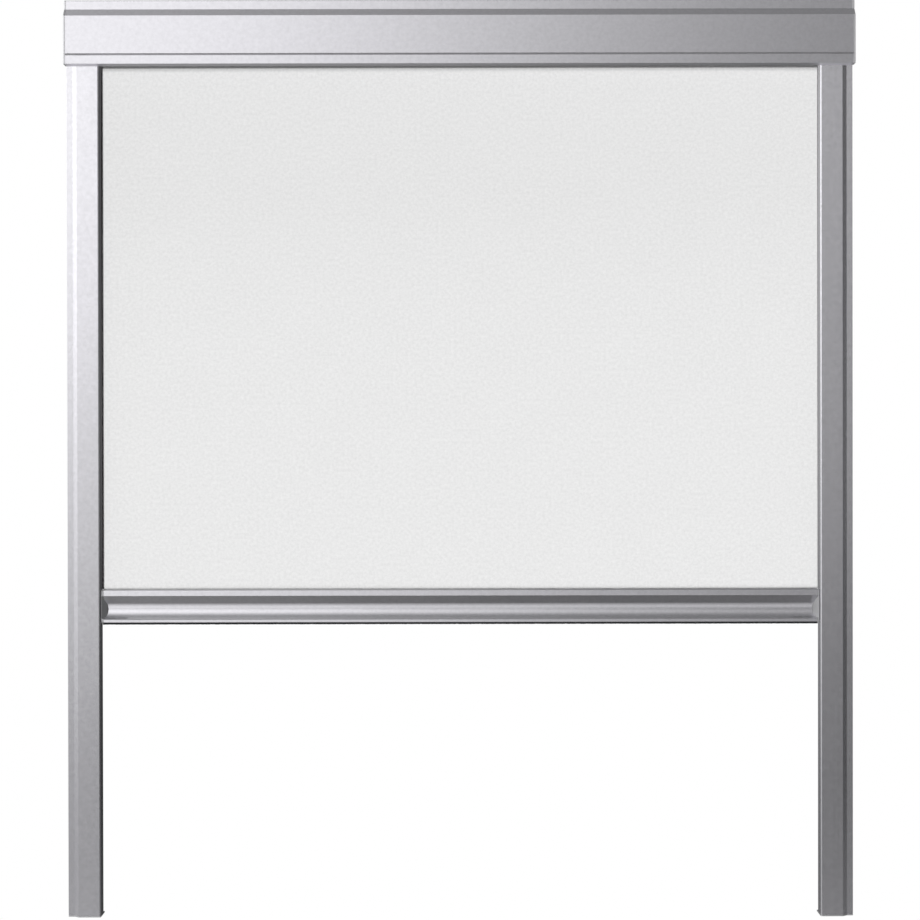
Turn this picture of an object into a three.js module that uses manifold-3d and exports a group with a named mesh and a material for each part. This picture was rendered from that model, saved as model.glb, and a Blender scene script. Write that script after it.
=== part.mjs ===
// Roller blind for a roof window: a head with a spring roller, two side rails, a blackout
// fabric and a bottom bar that is pulled at its finger grip and stays where it is put.
//
// Millimetres, +X to the right, +Y away from the viewer towards the sash, +Z up.
// "Front" is a distance from the back plane towards the viewer, so it runs against +Y.
// "Drop" is a distance down from the head's top. The origin is the middle of the carrier's back.

import * as THREE from "three";
import { mergeVertices } from "three/addons/utils/BufferGeometryUtils.js";
import Module from "manifold-3d";

const wasm = await Module();
wasm.setup();

// Overall sizes
const overallWidth = 610;
const overallHeight = 710;
const headHeight = 50;
const fabricShown = 406.3;

// Clearances
const seatGap = 0.1;
const fitGap = 0.3;
const cutOverrun = 1;

// Facets
const cornerSteps = 3;
const roundSides = 32;
const smallSides = 16;
const weldDistance = 1e-4;

// Side rail
const railWidth = 25.5;
const railDepth = 23;
const flangeDepth = 20;
const flangeWidth = 4.6;
const slopeWidth = 3.6;
const railWall = 1.3;
const railEdgeRadius = 0.6;
const railInnerRadius = 1.5;
const channelDepth = 10.7;
const lipWidth = 3.9;
const slotWidth = 6.4;
const backLipSetback = 1.6;
const railTuck = 8;
const sashHoleRadius = 2;
const sashHoleHeight = 10;

// Pile strips in the slot mouth
const pileGrooveWidth = 2.6;
const pileGrooveDepth = 0.9;
const pileGrooveLand = 0.7;
const pileOpening = 2;
const pileTipWidth = 0.5;
const pileFootClear = 21;

// Rail foot plug
const footPlate = 1.2;
const footPlugLength = 14;
const footStopHeight = 6;

// Fabric
const fabricFront = 7.2;
const fabricThickness = 0.35;
const fabricInSlot = 5.6;
const reserveTurns = 2;
const earGap = 0.4;

// Roller
const tubeRadius = 9.5;
const tubeWall = 1;
const tubeEndGap = 17;
const keyWidth = 2;
const keyHeight = 1;
const plugLength = 12;
const flangeThickness = 1.9;
const rollRadialGap = 0.1;
const fullRollClearance = 1.17;

// Spring motor
const shaftRadius = 3;
const shaftLength = 230;
const tangThickness = 4;
const bushWall = 1.5;
const bushLength = 8;
const collarRadius = 7;
const collarLength = 12;
const collarFromShaftEnd = 2;
const springMeanRadius = 5.6;
const springWireRadius = 0.6;
const springCurls = 30;
const springStepsPerCurl = 8;
const springWireSides = 5;

// Idle end
const idlePinRadius = 2.5;
const idlePinInPlug = 18;
const idleBushWall = 1.4;
const idleBushFlange = 1.4;
const idleBushFlangeWidth = 1.2;

// Casing cover
const coverWall = 1.2;
const coverTopSetback = 4.9;
const coverTopBand = 7.1;
const coverSlopeHeight = 5.6;
const coverTopRadius = 1;
const coverEdgeRadius = 0.5;
const grooveRise = 7.5;
const grooveDepth = 0.8;
const ribThickness = 1;
const ribHeight = 4;
const returnGap = 0.4;
const hookFront = 10;
const hookReach = 1.8;
const hookThickness = 1;
const coverBackGap = 0.4;

// Casing end plates
const endPlate = 1.4;
const rimLength = 2.5;
const rimThickness = 1.2;
const rimBackClear = 2;
const pegRadius = 1.5;
const pegFront = 25.5;
const pegSpread = 10;

// Carrier profile
const carrierWall = 1.4;
const carrierLedge = 9.6;
const carrierFoot = 3;
const carrierHoleRadius = 2.1;
const carrierHoleLength = 9;
const carrierHoleShares = [0.3, 0.78];

// Roller brackets
const footThickness = 2.5;
const sidePlateThickness = 4;
const sidePlateInset = 9;
const basePlateThickness = 2.4;
const bracketReach = 19;
const locatorLength = 11;
const locatorThickness = 4.3;
const locatorInset = 3;
const bracketScrewInset = 5.6;
const bracketScrewSpread = 10;

// Screws
const screwRadius = 1.4;
const screwHeadRadius = 2.7;
const screwHeadHeight = 1.2;
const screwEdge = 0.4;
const bracketScrewLength = 3.2;
const barEndScrewLength = 8;
const glideScrewLength = 5.2;
const driveRadius = 1.1;
const driveDepth = 0.8;

// Bottom bar
const barFront = 20;
const barBack = 3;
const barWall = 1.3;
const barSideGap = 0.3;
const slatHeight = 4.2;
const undercutDepth = 6;
const undercutHeight = 5.9;
const coveRadius = 7;
const coveSetback = 1;
const coveSteps = 14;
const lipRise = 0.9;
const lipHeight = 2;
const slatRadius = 0.4;
const hemNeck = 1.5;
const hemNeckHeight = 1.8;
const hemChannelWidth = 5;
const hemChannelHeight = 4.6;
const portInset = 3.2;
const portRadius = 1.5;
const portWall = 1;
const sealNeck = 2.2;
const sealNeckHeight = 0.8;
const sealGroove = 3.6;
const sealGrooveHeight = 1;
const sealSetback = 2.8;
const sealProud = 1.7;
const sealEndInset = 1.2;
const barStopGap = 2;

// Bar end caps
const capPlate = 2;
const capCounterbore = 1.3;
const capSetback = 0.1;
const capRadius = 0.5;
const capRim = 0.4;
const capSlant = 4.3;
const capPlugLength = 6;
const capPlugWidth = 5.4;

// Hem
const hemRodRadius = 1.6;
const hemEndGap = 3;

// Glides
const tongueThickness = 1.3;
const tongueDrop = 9.2;
const tongueHeight = 8.6;
const tongueReach = 22;
const glideHeight = 22;
const glideDrop = 1.4;
const glideSideGap = 0.7;
const glideHeadGap = 3.3;
const glideRadius = 2.5;
const brakeWidth = 8;
const brakeThickness = 0.3;
const brakeHeight = 15;
const brakeRecess = 1.6;
const brakeSteps = 10;
const glideScrewInset = 8;

// Derived places
const halfWidth = overallWidth / 2;
const railInner = halfWidth - railWidth;
const railTopDrop = headHeight - railTuck;
const carrierTopDrop = coverWall + fitGap;
const carrierBottomDrop = railTopDrop - fitGap;
const headTop = (carrierTopDrop + carrierBottomDrop) / 2;
const rollerDrop = headHeight / 2;
const grooveDrop = headHeight - grooveRise;
const pegDrops = [rollerDrop - pegSpread, rollerDrop + pegSpread];
const fabricHalf = railInner + fabricInSlot;
const slotBack = fabricFront - slotWidth / 2;
const slotFront = fabricFront + slotWidth / 2;
const backLipEdge = railWidth - backLipSetback;
const channelEdge = backLipEdge - lipWidth;
const channelFront = railWall + channelDepth;
const chamberBack = channelFront + railWall;
const barDrop = headHeight + fabricShown;
const coveFront = barFront - coveSetback;
const coveDrop = slatHeight + undercutHeight
  + Math.sqrt(coveRadius ** 2 - (undercutDepth - coveSetback) ** 2);
const coveEndDrop = coveDrop + coveRadius;
const barHeight = coveEndDrop + lipRise + lipHeight;
const barHalf = railInner - barSideGap;
const profileHalf = barHalf - capPlate - seatGap;
const coverHalf = halfWidth - endPlate - seatGap;
const tubeHalf = halfWidth - tubeEndGap;
const sidePlateOuter = halfWidth - sidePlateInset;
const sidePlateInner = sidePlateOuter - sidePlateThickness;

// The bar stops under the head, and its glides stop on the rail's foot plugs.
const travelUp = fabricShown - barStopGap;
const footTopDrop = overallHeight - footPlate;
const travelDown = footTopDrop - footStopHeight - fitGap - (barDrop + glideDrop + glideHeight);

// The wound fabric's radius follows from the length that is on the tube.
const reserveLength = reserveTurns * 2 * Math.PI * tubeRadius;
const woundLength = travelDown + reserveLength;
const rollRadius = Math.sqrt(tubeRadius ** 2 + (fabricThickness * woundLength) / Math.PI);
const fullRadius = Math.sqrt(rollRadius ** 2 + (fabricThickness * travelUp) / Math.PI);
const rollerFront = fabricFront + rollRadius - fabricThickness / 2 + seatGap;
const headDepth = rollerFront + fullRadius + fullRollClearance + coverWall;

// Materials
const finish = (color, roughness, metalness) =>
  new THREE.MeshStandardMaterial({ color, roughness, metalness, flatShading: true });
const aluminium = finish(0xb9b8bd, 0.38, 0.85);
const fabricWhite = finish(0xe6e6e6, 0.9, 0);
const greyPlastic = finish(0x8b8b8e, 0.55, 0);
const blackPile = finish(0x17171a, 0.95, 0);
const steel = finish(0xa8a9ab, 0.35, 0.9);
const nylon = finish(0xd9d9d4, 0.6, 0);
const bronze = finish(0x8d6b3f, 0.5, 0.7);

const blind = new THREE.Group();

function add(name, geometry, material) {
  const mesh = new THREE.Mesh(geometry, material);
  mesh.name = name;
  blind.add(mesh);
  return mesh;
}

// Outlines

function arc(across, up, radius, fromAngle, toAngle, steps) {
  const points = [];
  for (let step = 0; step <= steps; step += 1) {
    const angle = fromAngle + ((toAngle - fromAngle) * step) / steps;
    points.push([across + radius * Math.cos(angle), up + radius * Math.sin(angle)]);
  }
  return points;
}

function circle(across, up, radius, sides) {
  return arc(across, up, radius, 0, 2 * Math.PI, sides).slice(0, -1);
}

function box(fromAcross, toAcross, fromUp, toUp) {
  return [[fromAcross, fromUp], [toAcross, fromUp], [toAcross, toUp], [fromAcross, toUp]];
}

// A corner is [across, up] when sharp and [across, up, radius] when round.
function rounded(corners) {
  return corners.flatMap((corner, index) => {
    const radius = corner[2] ?? 0;
    if (radius === 0) {
      return [[corner[0], corner[1]]];
    }
    const here = new THREE.Vector2(corner[0], corner[1]);
    const before = corners.at(index - 1);
    const after = corners[(index + 1) % corners.length];
    const back = new THREE.Vector2(before[0], before[1]).sub(here).normalize();
    const forth = new THREE.Vector2(after[0], after[1]).sub(here).normalize();
    const halfAngle = Math.acos(back.dot(forth)) / 2;
    const toCentre = back.clone().add(forth).normalize();
    const centre = here.clone().addScaledVector(toCentre, radius / Math.sin(halfAngle));
    const start = here.clone().addScaledVector(back, radius / Math.tan(halfAngle)).sub(centre);
    const end = here.clone().addScaledVector(forth, radius / Math.tan(halfAngle)).sub(centre);
    const sweep = Math.atan2(start.cross(end), start.dot(end));
    const from = Math.atan2(start.y, start.x);
    return arc(centre.x, centre.y, radius, from, from + sweep, cornerSteps);
  });
}

function extrude(outline, depth) {
  const shape = new THREE.Shape(outline.map(([across, up]) => new THREE.Vector2(across, up)));
  return new THREE.ExtrudeGeometry(shape, { depth, bevelEnabled: false });
}

const toRight = new THREE.Vector3(1, 0, 0);
const toLeft = new THREE.Vector3(-1, 0, 0);
const toFront = new THREE.Vector3(0, -1, 0);
const toBack = new THREE.Vector3(0, 1, 0);
const upwards = new THREE.Vector3(0, 0, 1);
const downwards = new THREE.Vector3(0, 0, -1);

// Outline in [front, height], extruded from one x to another.
function alongX(outline, fromX, toX) {
  const geometry = extrude(outline, toX - fromX);
  geometry.applyMatrix4(new THREE.Matrix4().makeBasis(toFront, upwards, toLeft));
  return geometry.translate(toX, 0, 0);
}

// Outline in [x, front], extruded between two heights.
function alongZ(outline, fromZ, toZ) {
  const geometry = extrude(outline, toZ - fromZ);
  geometry.applyMatrix4(new THREE.Matrix4().makeBasis(toRight, toFront, downwards));
  return geometry.translate(0, 0, toZ);
}

// Outline in [x, height], extruded between two fronts.
function alongFront(outline, fromFront, toFrontPlane) {
  const geometry = extrude(outline, toFrontPlane - fromFront);
  geometry.applyMatrix4(new THREE.Matrix4().makeBasis(toRight, upwards, toFront));
  return geometry.translate(0, -fromFront, 0);
}

// Solids

function toSolid(geometry) {
  const bare = new THREE.BufferGeometry();
  bare.setAttribute("position", geometry.getAttribute("position"));
  bare.setIndex(geometry.getIndex());
  const merged = mergeVertices(bare, weldDistance);
  return new wasm.Manifold(new wasm.Mesh({
    numProp: 3,
    vertProperties: Float32Array.from(merged.getAttribute("position").array),
    triVerts: Uint32Array.from(merged.getIndex().array),
  }));
}

function fromSolid(solid) {
  const mesh = solid.getMesh();
  const geometry = new THREE.BufferGeometry();
  geometry.setAttribute("position", new THREE.BufferAttribute(mesh.vertProperties, 3));
  geometry.setIndex(new THREE.BufferAttribute(mesh.triVerts, 1));
  geometry.computeVertexNormals();
  return geometry;
}

function join(...geometries) {
  return fromSolid(geometries.map(toSolid).reduce((whole, piece) => whole.add(piece)));
}

function cut(geometry, ...tools) {
  return fromSolid(tools.map(toSolid).reduce((left, tool) => left.subtract(tool), toSolid(geometry)));
}

// A hollow section: an outline with holes, swept by one of the three functions above
function hollow(sweep, outline, holes, from, to) {
  const tools = holes.map((hole) => sweep(hole, from - cutOverrun, to + cutOverrun));
  return cut(sweep(outline, from, to), ...tools);
}

function overlapOf(first, second) {
  return fromSolid(toSolid(first).intersect(toSolid(second)));
}

// The right-hand copy of a left-hand piece
function mirrored(geometry) {
  const copy = geometry.clone().scale(-1, 1, 1);
  const indexed = copy.getIndex() ? copy : mergeVertices(copy, weldDistance);
  const order = indexed.getIndex();
  for (let triangle = 0; triangle < order.count; triangle += 3) {
    const second = order.getX(triangle + 1);
    order.setX(triangle + 1, order.getX(triangle + 2));
    order.setX(triangle + 2, second);
  }
  return indexed;
}

function addPair(name, leftGeometry, material) {
  add(`${name}_left`, leftGeometry, material);
  add(`${name}_right`, mirrored(leftGeometry), material);
}

// Height of a point that lies a drop below the head's top
function fromTop(drop) {
  return headTop - drop;
}

// Turns an outline's drops below a given drop into heights.
function lowered(corners, baseDrop = 0) {
  return corners.map(([front, drop, radius]) => [front, fromTop(baseDrop + drop), radius]);
}

// A pan head screw. Its head lies beyond the seat, and its shank points along the thread.
function screw(seat, thread, length) {
  const profile = [
    [0, screwHeadHeight - driveDepth],
    [driveRadius, screwHeadHeight - driveDepth],
    [driveRadius, screwHeadHeight],
    [screwHeadRadius - screwEdge, screwHeadHeight],
    [screwHeadRadius, screwHeadHeight - screwEdge],
    [screwHeadRadius, 0],
    [screwRadius, 0],
    [screwRadius, -length + screwEdge],
    [screwRadius - screwEdge, -length],
    [0, -length],
  ].reverse().map(([across, up]) => new THREE.Vector2(across, up));
  const geometry = new THREE.LatheGeometry(profile, smallSides);
  const turn = new THREE.Quaternion().setFromUnitVectors(toBack, thread.clone().negate());
  return geometry.applyQuaternion(turn).translate(seat.x, seat.y, seat.z);
}

// Place of a point in the left rail's section, across from its outer side
function inRail(across) {
  return -halfWidth + across;
}

function railOuterCorners() {
  return [
    [inRail(0), 0],
    [inRail(0), flangeDepth, railEdgeRadius],
    [inRail(flangeWidth), flangeDepth],
    [inRail(flangeWidth + slopeWidth), railDepth, railEdgeRadius],
    [inRail(railWidth), railDepth, railInnerRadius],
  ];
}

// The wall keeps its thickness where the flange turns into the slope.
function railChamber(inset) {
  const rise = railDepth - flangeDepth;
  const wall = railWall + inset;
  const shift = wall * Math.tan(Math.atan2(rise, slopeWidth) / 2);
  return [
    [inRail(wall), chamberBack + inset],
    [inRail(wall), flangeDepth - wall],
    [inRail(flangeWidth) + shift, flangeDepth - wall],
    [inRail(flangeWidth + slopeWidth) + shift, railDepth - wall],
    [inRail(railWidth - wall), railDepth - wall],
    [inRail(railWidth - wall), chamberBack + inset],
  ];
}

// One side of the slot mouth, from its edge to the channel, with its pile groove
function lipCorners(edge, face, away) {
  const grooveNear = edge - pileGrooveLand;
  const grooveFar = grooveNear - pileGrooveWidth;
  const grooveFloor = face + away * pileGrooveDepth;
  return [
    [inRail(edge), face],
    [inRail(grooveNear), face],
    [inRail(grooveNear), grooveFloor],
    [inRail(grooveFar), grooveFloor],
    [inRail(grooveFar), face],
    [inRail(edge - lipWidth), face],
  ];
}

function railOutline() {
  return rounded([
    ...railOuterCorners(),
    ...lipCorners(railWidth, slotFront, 1),
    [inRail(railWidth - lipWidth), channelFront],
    [inRail(railWall), channelFront],
    [inRail(railWall), railWall],
    [inRail(channelEdge), railWall],
    ...lipCorners(backLipEdge, slotBack, -1).reverse(),
    [inRail(backLipEdge), 0],
  ]);
}

// Side rails, with the holes for the sash screws in their outer wall

function buildRails() {
  const bottom = fromTop(footTopDrop - seatGap);
  const top = fromTop(railTopDrop);
  const bar = hollow(alongZ, railOutline(), [railChamber(0)], bottom, top);
  const heights = [bottom + sashHoleHeight, (bottom + top) / 2];
  const holes = heights.map((height) => alongX(
    circle(fabricFront, height, sashHoleRadius, smallSides),
    inRail(-cutOverrun),
    inRail(railWall + cutOverrun),
  ));
  addPair("rail", cut(bar, ...holes), aluminium);
}

// Pile strips: a flat backing in the groove and a tapered brush that leans out to the lip's edge

function pileOutline(edge, face, away) {
  const near = edge - pileGrooveLand - seatGap;
  const far = near - pileGrooveWidth + 2 * seatGap;
  const back = face + away * (pileGrooveDepth - seatGap);
  const tip = fabricFront + (away * pileOpening) / 2;
  const base = face - away * fitGap;
  return [
    [inRail(far), back],
    [inRail(near), back],
    [inRail(near), base],
    [inRail(edge), tip + away * pileTipWidth],
    [inRail(edge), tip],
    [inRail(near - pileTipWidth), tip],
    [inRail(far), base],
  ];
}

function buildPileStrips() {
  const bottom = fromTop(footTopDrop - pileFootClear);
  const top = fromTop(railTopDrop);
  addPair("front_pile", alongZ(pileOutline(railWidth, slotFront, 1), bottom, top), blackPile);
  addPair("back_pile", alongZ(pileOutline(backLipEdge, slotBack, -1), bottom, top), blackPile);
}

// Foot plugs: an end plate, a plug in the rail's chamber and the stop for the glide

function buildRailFeet() {
  const bottom = fromTop(overallHeight);
  const plateTop = bottom + footPlate;
  const plate = alongZ(rounded([
    ...railOuterCorners(),
    [inRail(railWidth), slotBack],
    [inRail(backLipEdge), slotBack],
    [inRail(backLipEdge), 0],
  ]), bottom, plateTop);
  const plug = alongZ(railChamber(fitGap), bottom, bottom + footPlugLength);
  const stop = alongZ(
    box(
      inRail(railWall + fitGap),
      inRail(channelEdge - fitGap),
      railWall + fitGap,
      channelFront - fitGap,
    ),
    bottom,
    plateTop + footStopHeight,
  );
  addPair("rail_foot", join(plate, plug, stop), greyPlastic);
}

// Fabric: the flat sheet with its hem sleeve, and what is wound on the tube

function buildFabric() {
  const top = fromTop(rollerDrop + seatGap);
  const earBottom = fromTop(barDrop - earGap);
  const hemHalf = profileHalf - hemEndGap;
  const sleeveRadius = hemRodRadius + seatGap + fabricThickness;
  const rodHeight = fromTop(hemRodDrop());
  const sheet = alongFront([
    [-fabricHalf, top],
    [-fabricHalf, earBottom],
    [-hemHalf, earBottom],
    [-hemHalf, rodHeight + hemRodRadius + seatGap + fabricThickness / 2],
    [hemHalf, rodHeight + hemRodRadius + seatGap + fabricThickness / 2],
    [hemHalf, earBottom],
    [fabricHalf, earBottom],
    [fabricHalf, top],
  ], fabricFront - fabricThickness / 2, fabricFront + fabricThickness / 2);
  const sleeve = hollow(
    alongX,
    circle(fabricFront, rodHeight, sleeveRadius, smallSides),
    [circle(fabricFront, rodHeight, hemRodRadius + seatGap, smallSides)],
    -hemHalf,
    hemHalf,
  );
  add("fabric_sheet", join(sheet, sleeve), fabricWhite);
  add("fabric_roll", buildFabricRoll(), fabricWhite);
  add("hem_rod", alongX(
    circle(fabricFront, rodHeight, hemRodRadius, smallSides),
    -hemHalf,
    hemHalf,
  ), steel);
}

// The sleeve hangs in the middle of the bar's hem channel.
function hemRodDrop() {
  return barDrop + hemNeckHeight + hemChannelHeight / 2;
}

// The outer turn is a spiral whose step at the back is where the sheet leaves the roll.
function buildFabricRoll() {
  const height = fromTop(rollerDrop);
  const outer = [];
  for (let step = 0; step <= roundSides; step += 1) {
    const angle = (2 * Math.PI * step) / roundSides;
    const radius = rollRadius - (fabricThickness * step) / roundSides;
    outer.push([rollerFront - radius * Math.cos(angle), height + radius * Math.sin(angle)]);
  }
  const bore = circle(rollerFront, height, tubeRadius + rollRadialGap, roundSides);
  return hollow(alongX, outer, [bore], -fabricHalf, fabricHalf);
}

// A ring or disc on the roller's axis
function onAxis(radius, fromX, toX, boreRadius = 0) {
  const height = fromTop(rollerDrop);
  const outline = circle(rollerFront, height, radius, roundSides);
  if (boreRadius === 0) {
    return alongX(outline, fromX, toX);
  }
  const bore = circle(rollerFront, height, boreRadius, roundSides);
  return hollow(alongX, outline, [bore], fromX, toX);
}

// Tube bore with the inward key that the end plugs fit over
function tubeBore() {
  const height = fromTop(rollerDrop);
  const radius = tubeRadius - tubeWall;
  const halfKey = Math.asin(keyWidth / 2 / radius);
  const bore = arc(rollerFront, height, radius, halfKey, 2 * Math.PI - halfKey, roundSides);
  const keyTop = rollerFront + radius - keyHeight;
  return [...bore, [keyTop, height - keyWidth / 2], [keyTop, height + keyWidth / 2]];
}

function buildTube() {
  const outer = circle(rollerFront, fromTop(rollerDrop), tubeRadius, roundSides);
  add("roller_tube", hollow(alongX, outer, [tubeBore()], -tubeHalf, tubeHalf), aluminium);
}

// A plug with a flange on the tube's end, a keyway and a bore
function rollerPlug(boreRadius) {
  const height = fromTop(rollerDrop);
  const bodyRadius = tubeRadius - tubeWall - seatGap;
  const inner = -tubeHalf + plugLength;
  const outer = -tubeHalf - seatGap;
  const keyway = alongX(
    box(
      rollerFront + bodyRadius - keyHeight - fitGap,
      rollerFront + tubeRadius + cutOverrun,
      height - keyWidth / 2 - fitGap,
      height + keyWidth / 2 + fitGap,
    ),
    outer,
    inner + cutOverrun,
  );
  const body = cut(onAxis(bodyRadius, outer, inner), keyway);
  const flange = onAxis(tubeRadius, outer - flangeThickness, outer);
  const bore = onAxis(boreRadius, outer - flangeThickness - cutOverrun, inner + cutOverrun);
  return cut(join(body, flange), bore);
}

// Spring end of the roller: fixed shaft with a flat tang, bush, plug, collar and torsion spring

function buildSpringMotor() {
  const height = fromTop(rollerDrop);
  const shaftLeft = -sidePlateInner + fitGap;
  const shaftRight = shaftLeft + shaftLength;
  const tang = alongX(
    box(
      rollerFront - shaftRadius,
      rollerFront + shaftRadius,
      height - tangThickness / 2,
      height + tangThickness / 2,
    ),
    -sidePlateOuter - fitGap,
    shaftLeft + tangThickness,
  );
  const tangRound = onAxis(shaftRadius, -sidePlateOuter - fitGap, shaftLeft + tangThickness);
  const round = onAxis(shaftRadius, shaftLeft, shaftRight);
  add("spring_shaft", join(overlapOf(tang, tangRound), round), steel);

  const bushBore = shaftRadius + seatGap;
  const bushRadius = bushBore + bushWall;
  const bushLeft = -tubeHalf - flangeThickness;
  add("shaft_bush", onAxis(bushRadius, bushLeft, bushLeft + bushLength, bushBore), bronze);
  add("roller_plug_left", rollerPlug(bushRadius + seatGap), greyPlastic);

  const collarRight = shaftRight - collarFromShaftEnd;
  const collarLeft = collarRight - collarLength;
  add("spring_collar", onAxis(collarRadius, collarLeft, collarRight, bushBore), greyPlastic);

  const springLeft = -tubeHalf + plugLength + fitGap;
  add("torsion_spring", buildSpring(springLeft, collarLeft - fitGap), steel);
}

// A wire coiled round the shaft, with short straight ends square to the plug and the collar
function buildSpring(fromX, toX) {
  const height = fromTop(rollerDrop);
  const lead = 2 * springWireRadius;
  const steps = springCurls * springStepsPerCurl;
  const coilLength = toX - fromX - 2 * lead;
  const path = [];
  for (let step = 0; step <= steps; step += 1) {
    const angle = (2 * Math.PI * springCurls * step) / steps;
    path.push(new THREE.Vector3(
      fromX + lead + (coilLength * step) / steps,
      -rollerFront + springMeanRadius * Math.cos(angle),
      height + springMeanRadius * Math.sin(angle),
    ));
  }
  path.unshift(path[0].clone().setX(fromX));
  path.push(path.at(-1).clone().setX(toX));
  reportSpringGap(coilLength / springCurls);
  return wire(path, springWireRadius, springWireSides);
}

// Least gap between neighbouring curls of the spring
function reportSpringGap(pitch) {
  const circumference = 2 * Math.PI * springMeanRadius;
  const lean = circumference / Math.hypot(circumference, pitch);
  const gap = pitch * lean - 2 * springWireRadius;
  console.log(`least gap between the spring's curls: ${gap.toFixed(2)} mm`);
}

// A closed tube round a list of points, whose rings lie in the planes that halve the bends
function wire(path, radius, sides) {
  const positions = [];
  const index = [];
  path.forEach((point, place) => {
    const before = path[Math.max(place - 1, 0)];
    const after = path[Math.min(place + 1, path.length - 1)];
    const along = after.clone().sub(before).normalize();
    const outward = new THREE.Vector3(0, point.y + rollerFront, point.z - fromTop(rollerDrop));
    const side = new THREE.Vector3().crossVectors(along, outward).normalize();
    const up = new THREE.Vector3().crossVectors(side, along);
    for (let turn = 0; turn < sides; turn += 1) {
      const angle = (2 * Math.PI * turn) / sides;
      const corner = point.clone()
        .addScaledVector(up, radius * Math.cos(angle))
        .addScaledVector(side, radius * Math.sin(angle));
      positions.push(corner.x, corner.y, corner.z);
    }
  });
  for (let ring = 0; ring < path.length - 1; ring += 1) {
    for (let turn = 0; turn < sides; turn += 1) {
      const here = ring * sides + turn;
      const next = ring * sides + ((turn + 1) % sides);
      index.push(here, next, here + sides, next, next + sides, here + sides);
    }
  }
  const last = (path.length - 1) * sides;
  for (let turn = 1; turn < sides - 1; turn += 1) {
    index.push(0, turn + 1, turn);
    index.push(last, last + turn, last + turn + 1);
  }
  const geometry = new THREE.BufferGeometry();
  geometry.setAttribute("position", new THREE.BufferAttribute(Float32Array.from(positions), 3));
  geometry.setIndex(index);
  geometry.computeVertexNormals();
  return geometry;
}

// Idle end of the roller: plug with its pin, and the bush in the right bracket

function buildIdleEnd() {
  const pinBore = idlePinRadius + seatGap;
  add("roller_plug_right", mirrored(rollerPlug(pinBore)), greyPlastic);
  add("idle_pin", onAxis(idlePinRadius, tubeHalf - idlePinInPlug, sidePlateOuter), steel);
  const barrel = onAxis(idleBushRadius(), sidePlateInner - cutOverrun / 2, sidePlateOuter, pinBore);
  const flange = onAxis(
    idleBushRadius() + idleBushFlangeWidth,
    sidePlateInner - idleBushFlange,
    sidePlateInner - seatGap,
    pinBore,
  );
  add("idle_bush", join(barrel, flange), nylon);
}

function idleBushRadius() {
  return idlePinRadius + seatGap + idleBushWall;
}

// Casing cover: an open shell that hooks on the carrier and clips over the brackets

function coverFrontCorners() {
  const slopeTop = headDepth - coverTopSetback;
  const slopeEnd = coverTopBand + coverSlopeHeight;
  return [
    [slopeTop, 0, coverTopRadius],
    [slopeTop, coverTopBand],
    [headDepth, slopeEnd, coverEdgeRadius],
  ];
}

// The cover's inner side from its top down to a drop, or a line at an inset from it. The wall
// keeps its thickness through the slope.
function coverInside(inset, topDrop, bottomDrop) {
  const depth = coverWall + inset;
  const slopeShift = depth * Math.tan(Math.atan2(coverTopSetback, coverSlopeHeight) / 2);
  const slopeTop = headDepth - coverTopSetback - depth;
  return [
    [slopeTop, topDrop],
    [slopeTop, coverTopBand + slopeShift],
    [headDepth - depth, coverTopBand + coverSlopeHeight + slopeShift],
    [headDepth - depth, bottomDrop],
  ];
}

function coverOutline() {
  const inner = headDepth - coverWall;
  const returnEnd = railDepth + returnGap;
  const ribTop = grooveDrop - ribHeight / 2;
  const ribBottom = grooveDrop + ribHeight / 2;
  const hookTop = carrierTopDrop + carrierWall + fitGap;
  const hookTip = hookFront - hookReach;
  const hookOuter = hookFront + coverWall;
  return rounded(lowered([
    [coverBackGap, 0],
    ...coverFrontCorners(),
    [headDepth, grooveDrop - grooveDepth],
    [headDepth - grooveDepth, grooveDrop],
    [headDepth, grooveDrop + grooveDepth],
    [headDepth, headHeight, coverEdgeRadius],
    [returnEnd, headHeight],
    [returnEnd, headHeight - coverWall],
    [inner, headHeight - coverWall],
    [inner, ribBottom],
    [inner - ribThickness, ribBottom - ribThickness],
    [inner - ribThickness, ribTop + ribThickness],
    ...coverInside(0, coverWall, ribTop).reverse(),
    [hookOuter, coverWall],
    [hookOuter, hookTop + hookThickness],
    [hookTip, hookTop + hookThickness],
    [hookTip, hookTop],
    [hookFront, hookTop],
    [hookFront, coverWall],
    [coverBackGap, coverWall],
  ]));
}

function buildCasing() {
  add("casing_cover", alongX(coverOutline(), -coverHalf, coverHalf), aluminium);
  const outline = rounded(lowered([
    [0, 0, coverEdgeRadius],
    ...coverFrontCorners(),
    [headDepth, headHeight, coverEdgeRadius],
    [railDepth + returnGap, headHeight],
    [railDepth + returnGap, carrierBottomDrop],
    [0, carrierBottomDrop],
  ]));
  const plate = alongX(outline, -halfWidth, -halfWidth + endPlate);
  const rim = alongX(rimOutline(), -halfWidth + endPlate - fitGap, -halfWidth + endPlate + rimLength);
  const pegs = pegDrops.map((drop) => alongX(
    circle(pegFront, fromTop(drop), pegRadius, smallSides),
    -halfWidth + endPlate - fitGap,
    -sidePlateInner - seatGap,
  ));
  addPair("casing_end", join(plate, rim, ...pegs), greyPlastic);
}

// The rim follows the cover's inner side from in front of the hook down to the bracket's base.
function rimOutline() {
  const back = hookFront + coverWall + rimBackClear;
  const bottom = carrierBottomDrop - basePlateThickness - fitGap;
  const outerDepth = coverWall + fitGap;
  const innerDepth = outerDepth + rimThickness;
  return lowered([
    [back, outerDepth],
    ...coverInside(fitGap, outerDepth, bottom),
    ...coverInside(fitGap + rimThickness, innerDepth, bottom).reverse(),
    [back, innerDepth],
  ]);
}

// Carrier: the back profile with the ledge that the cover hooks over

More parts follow.
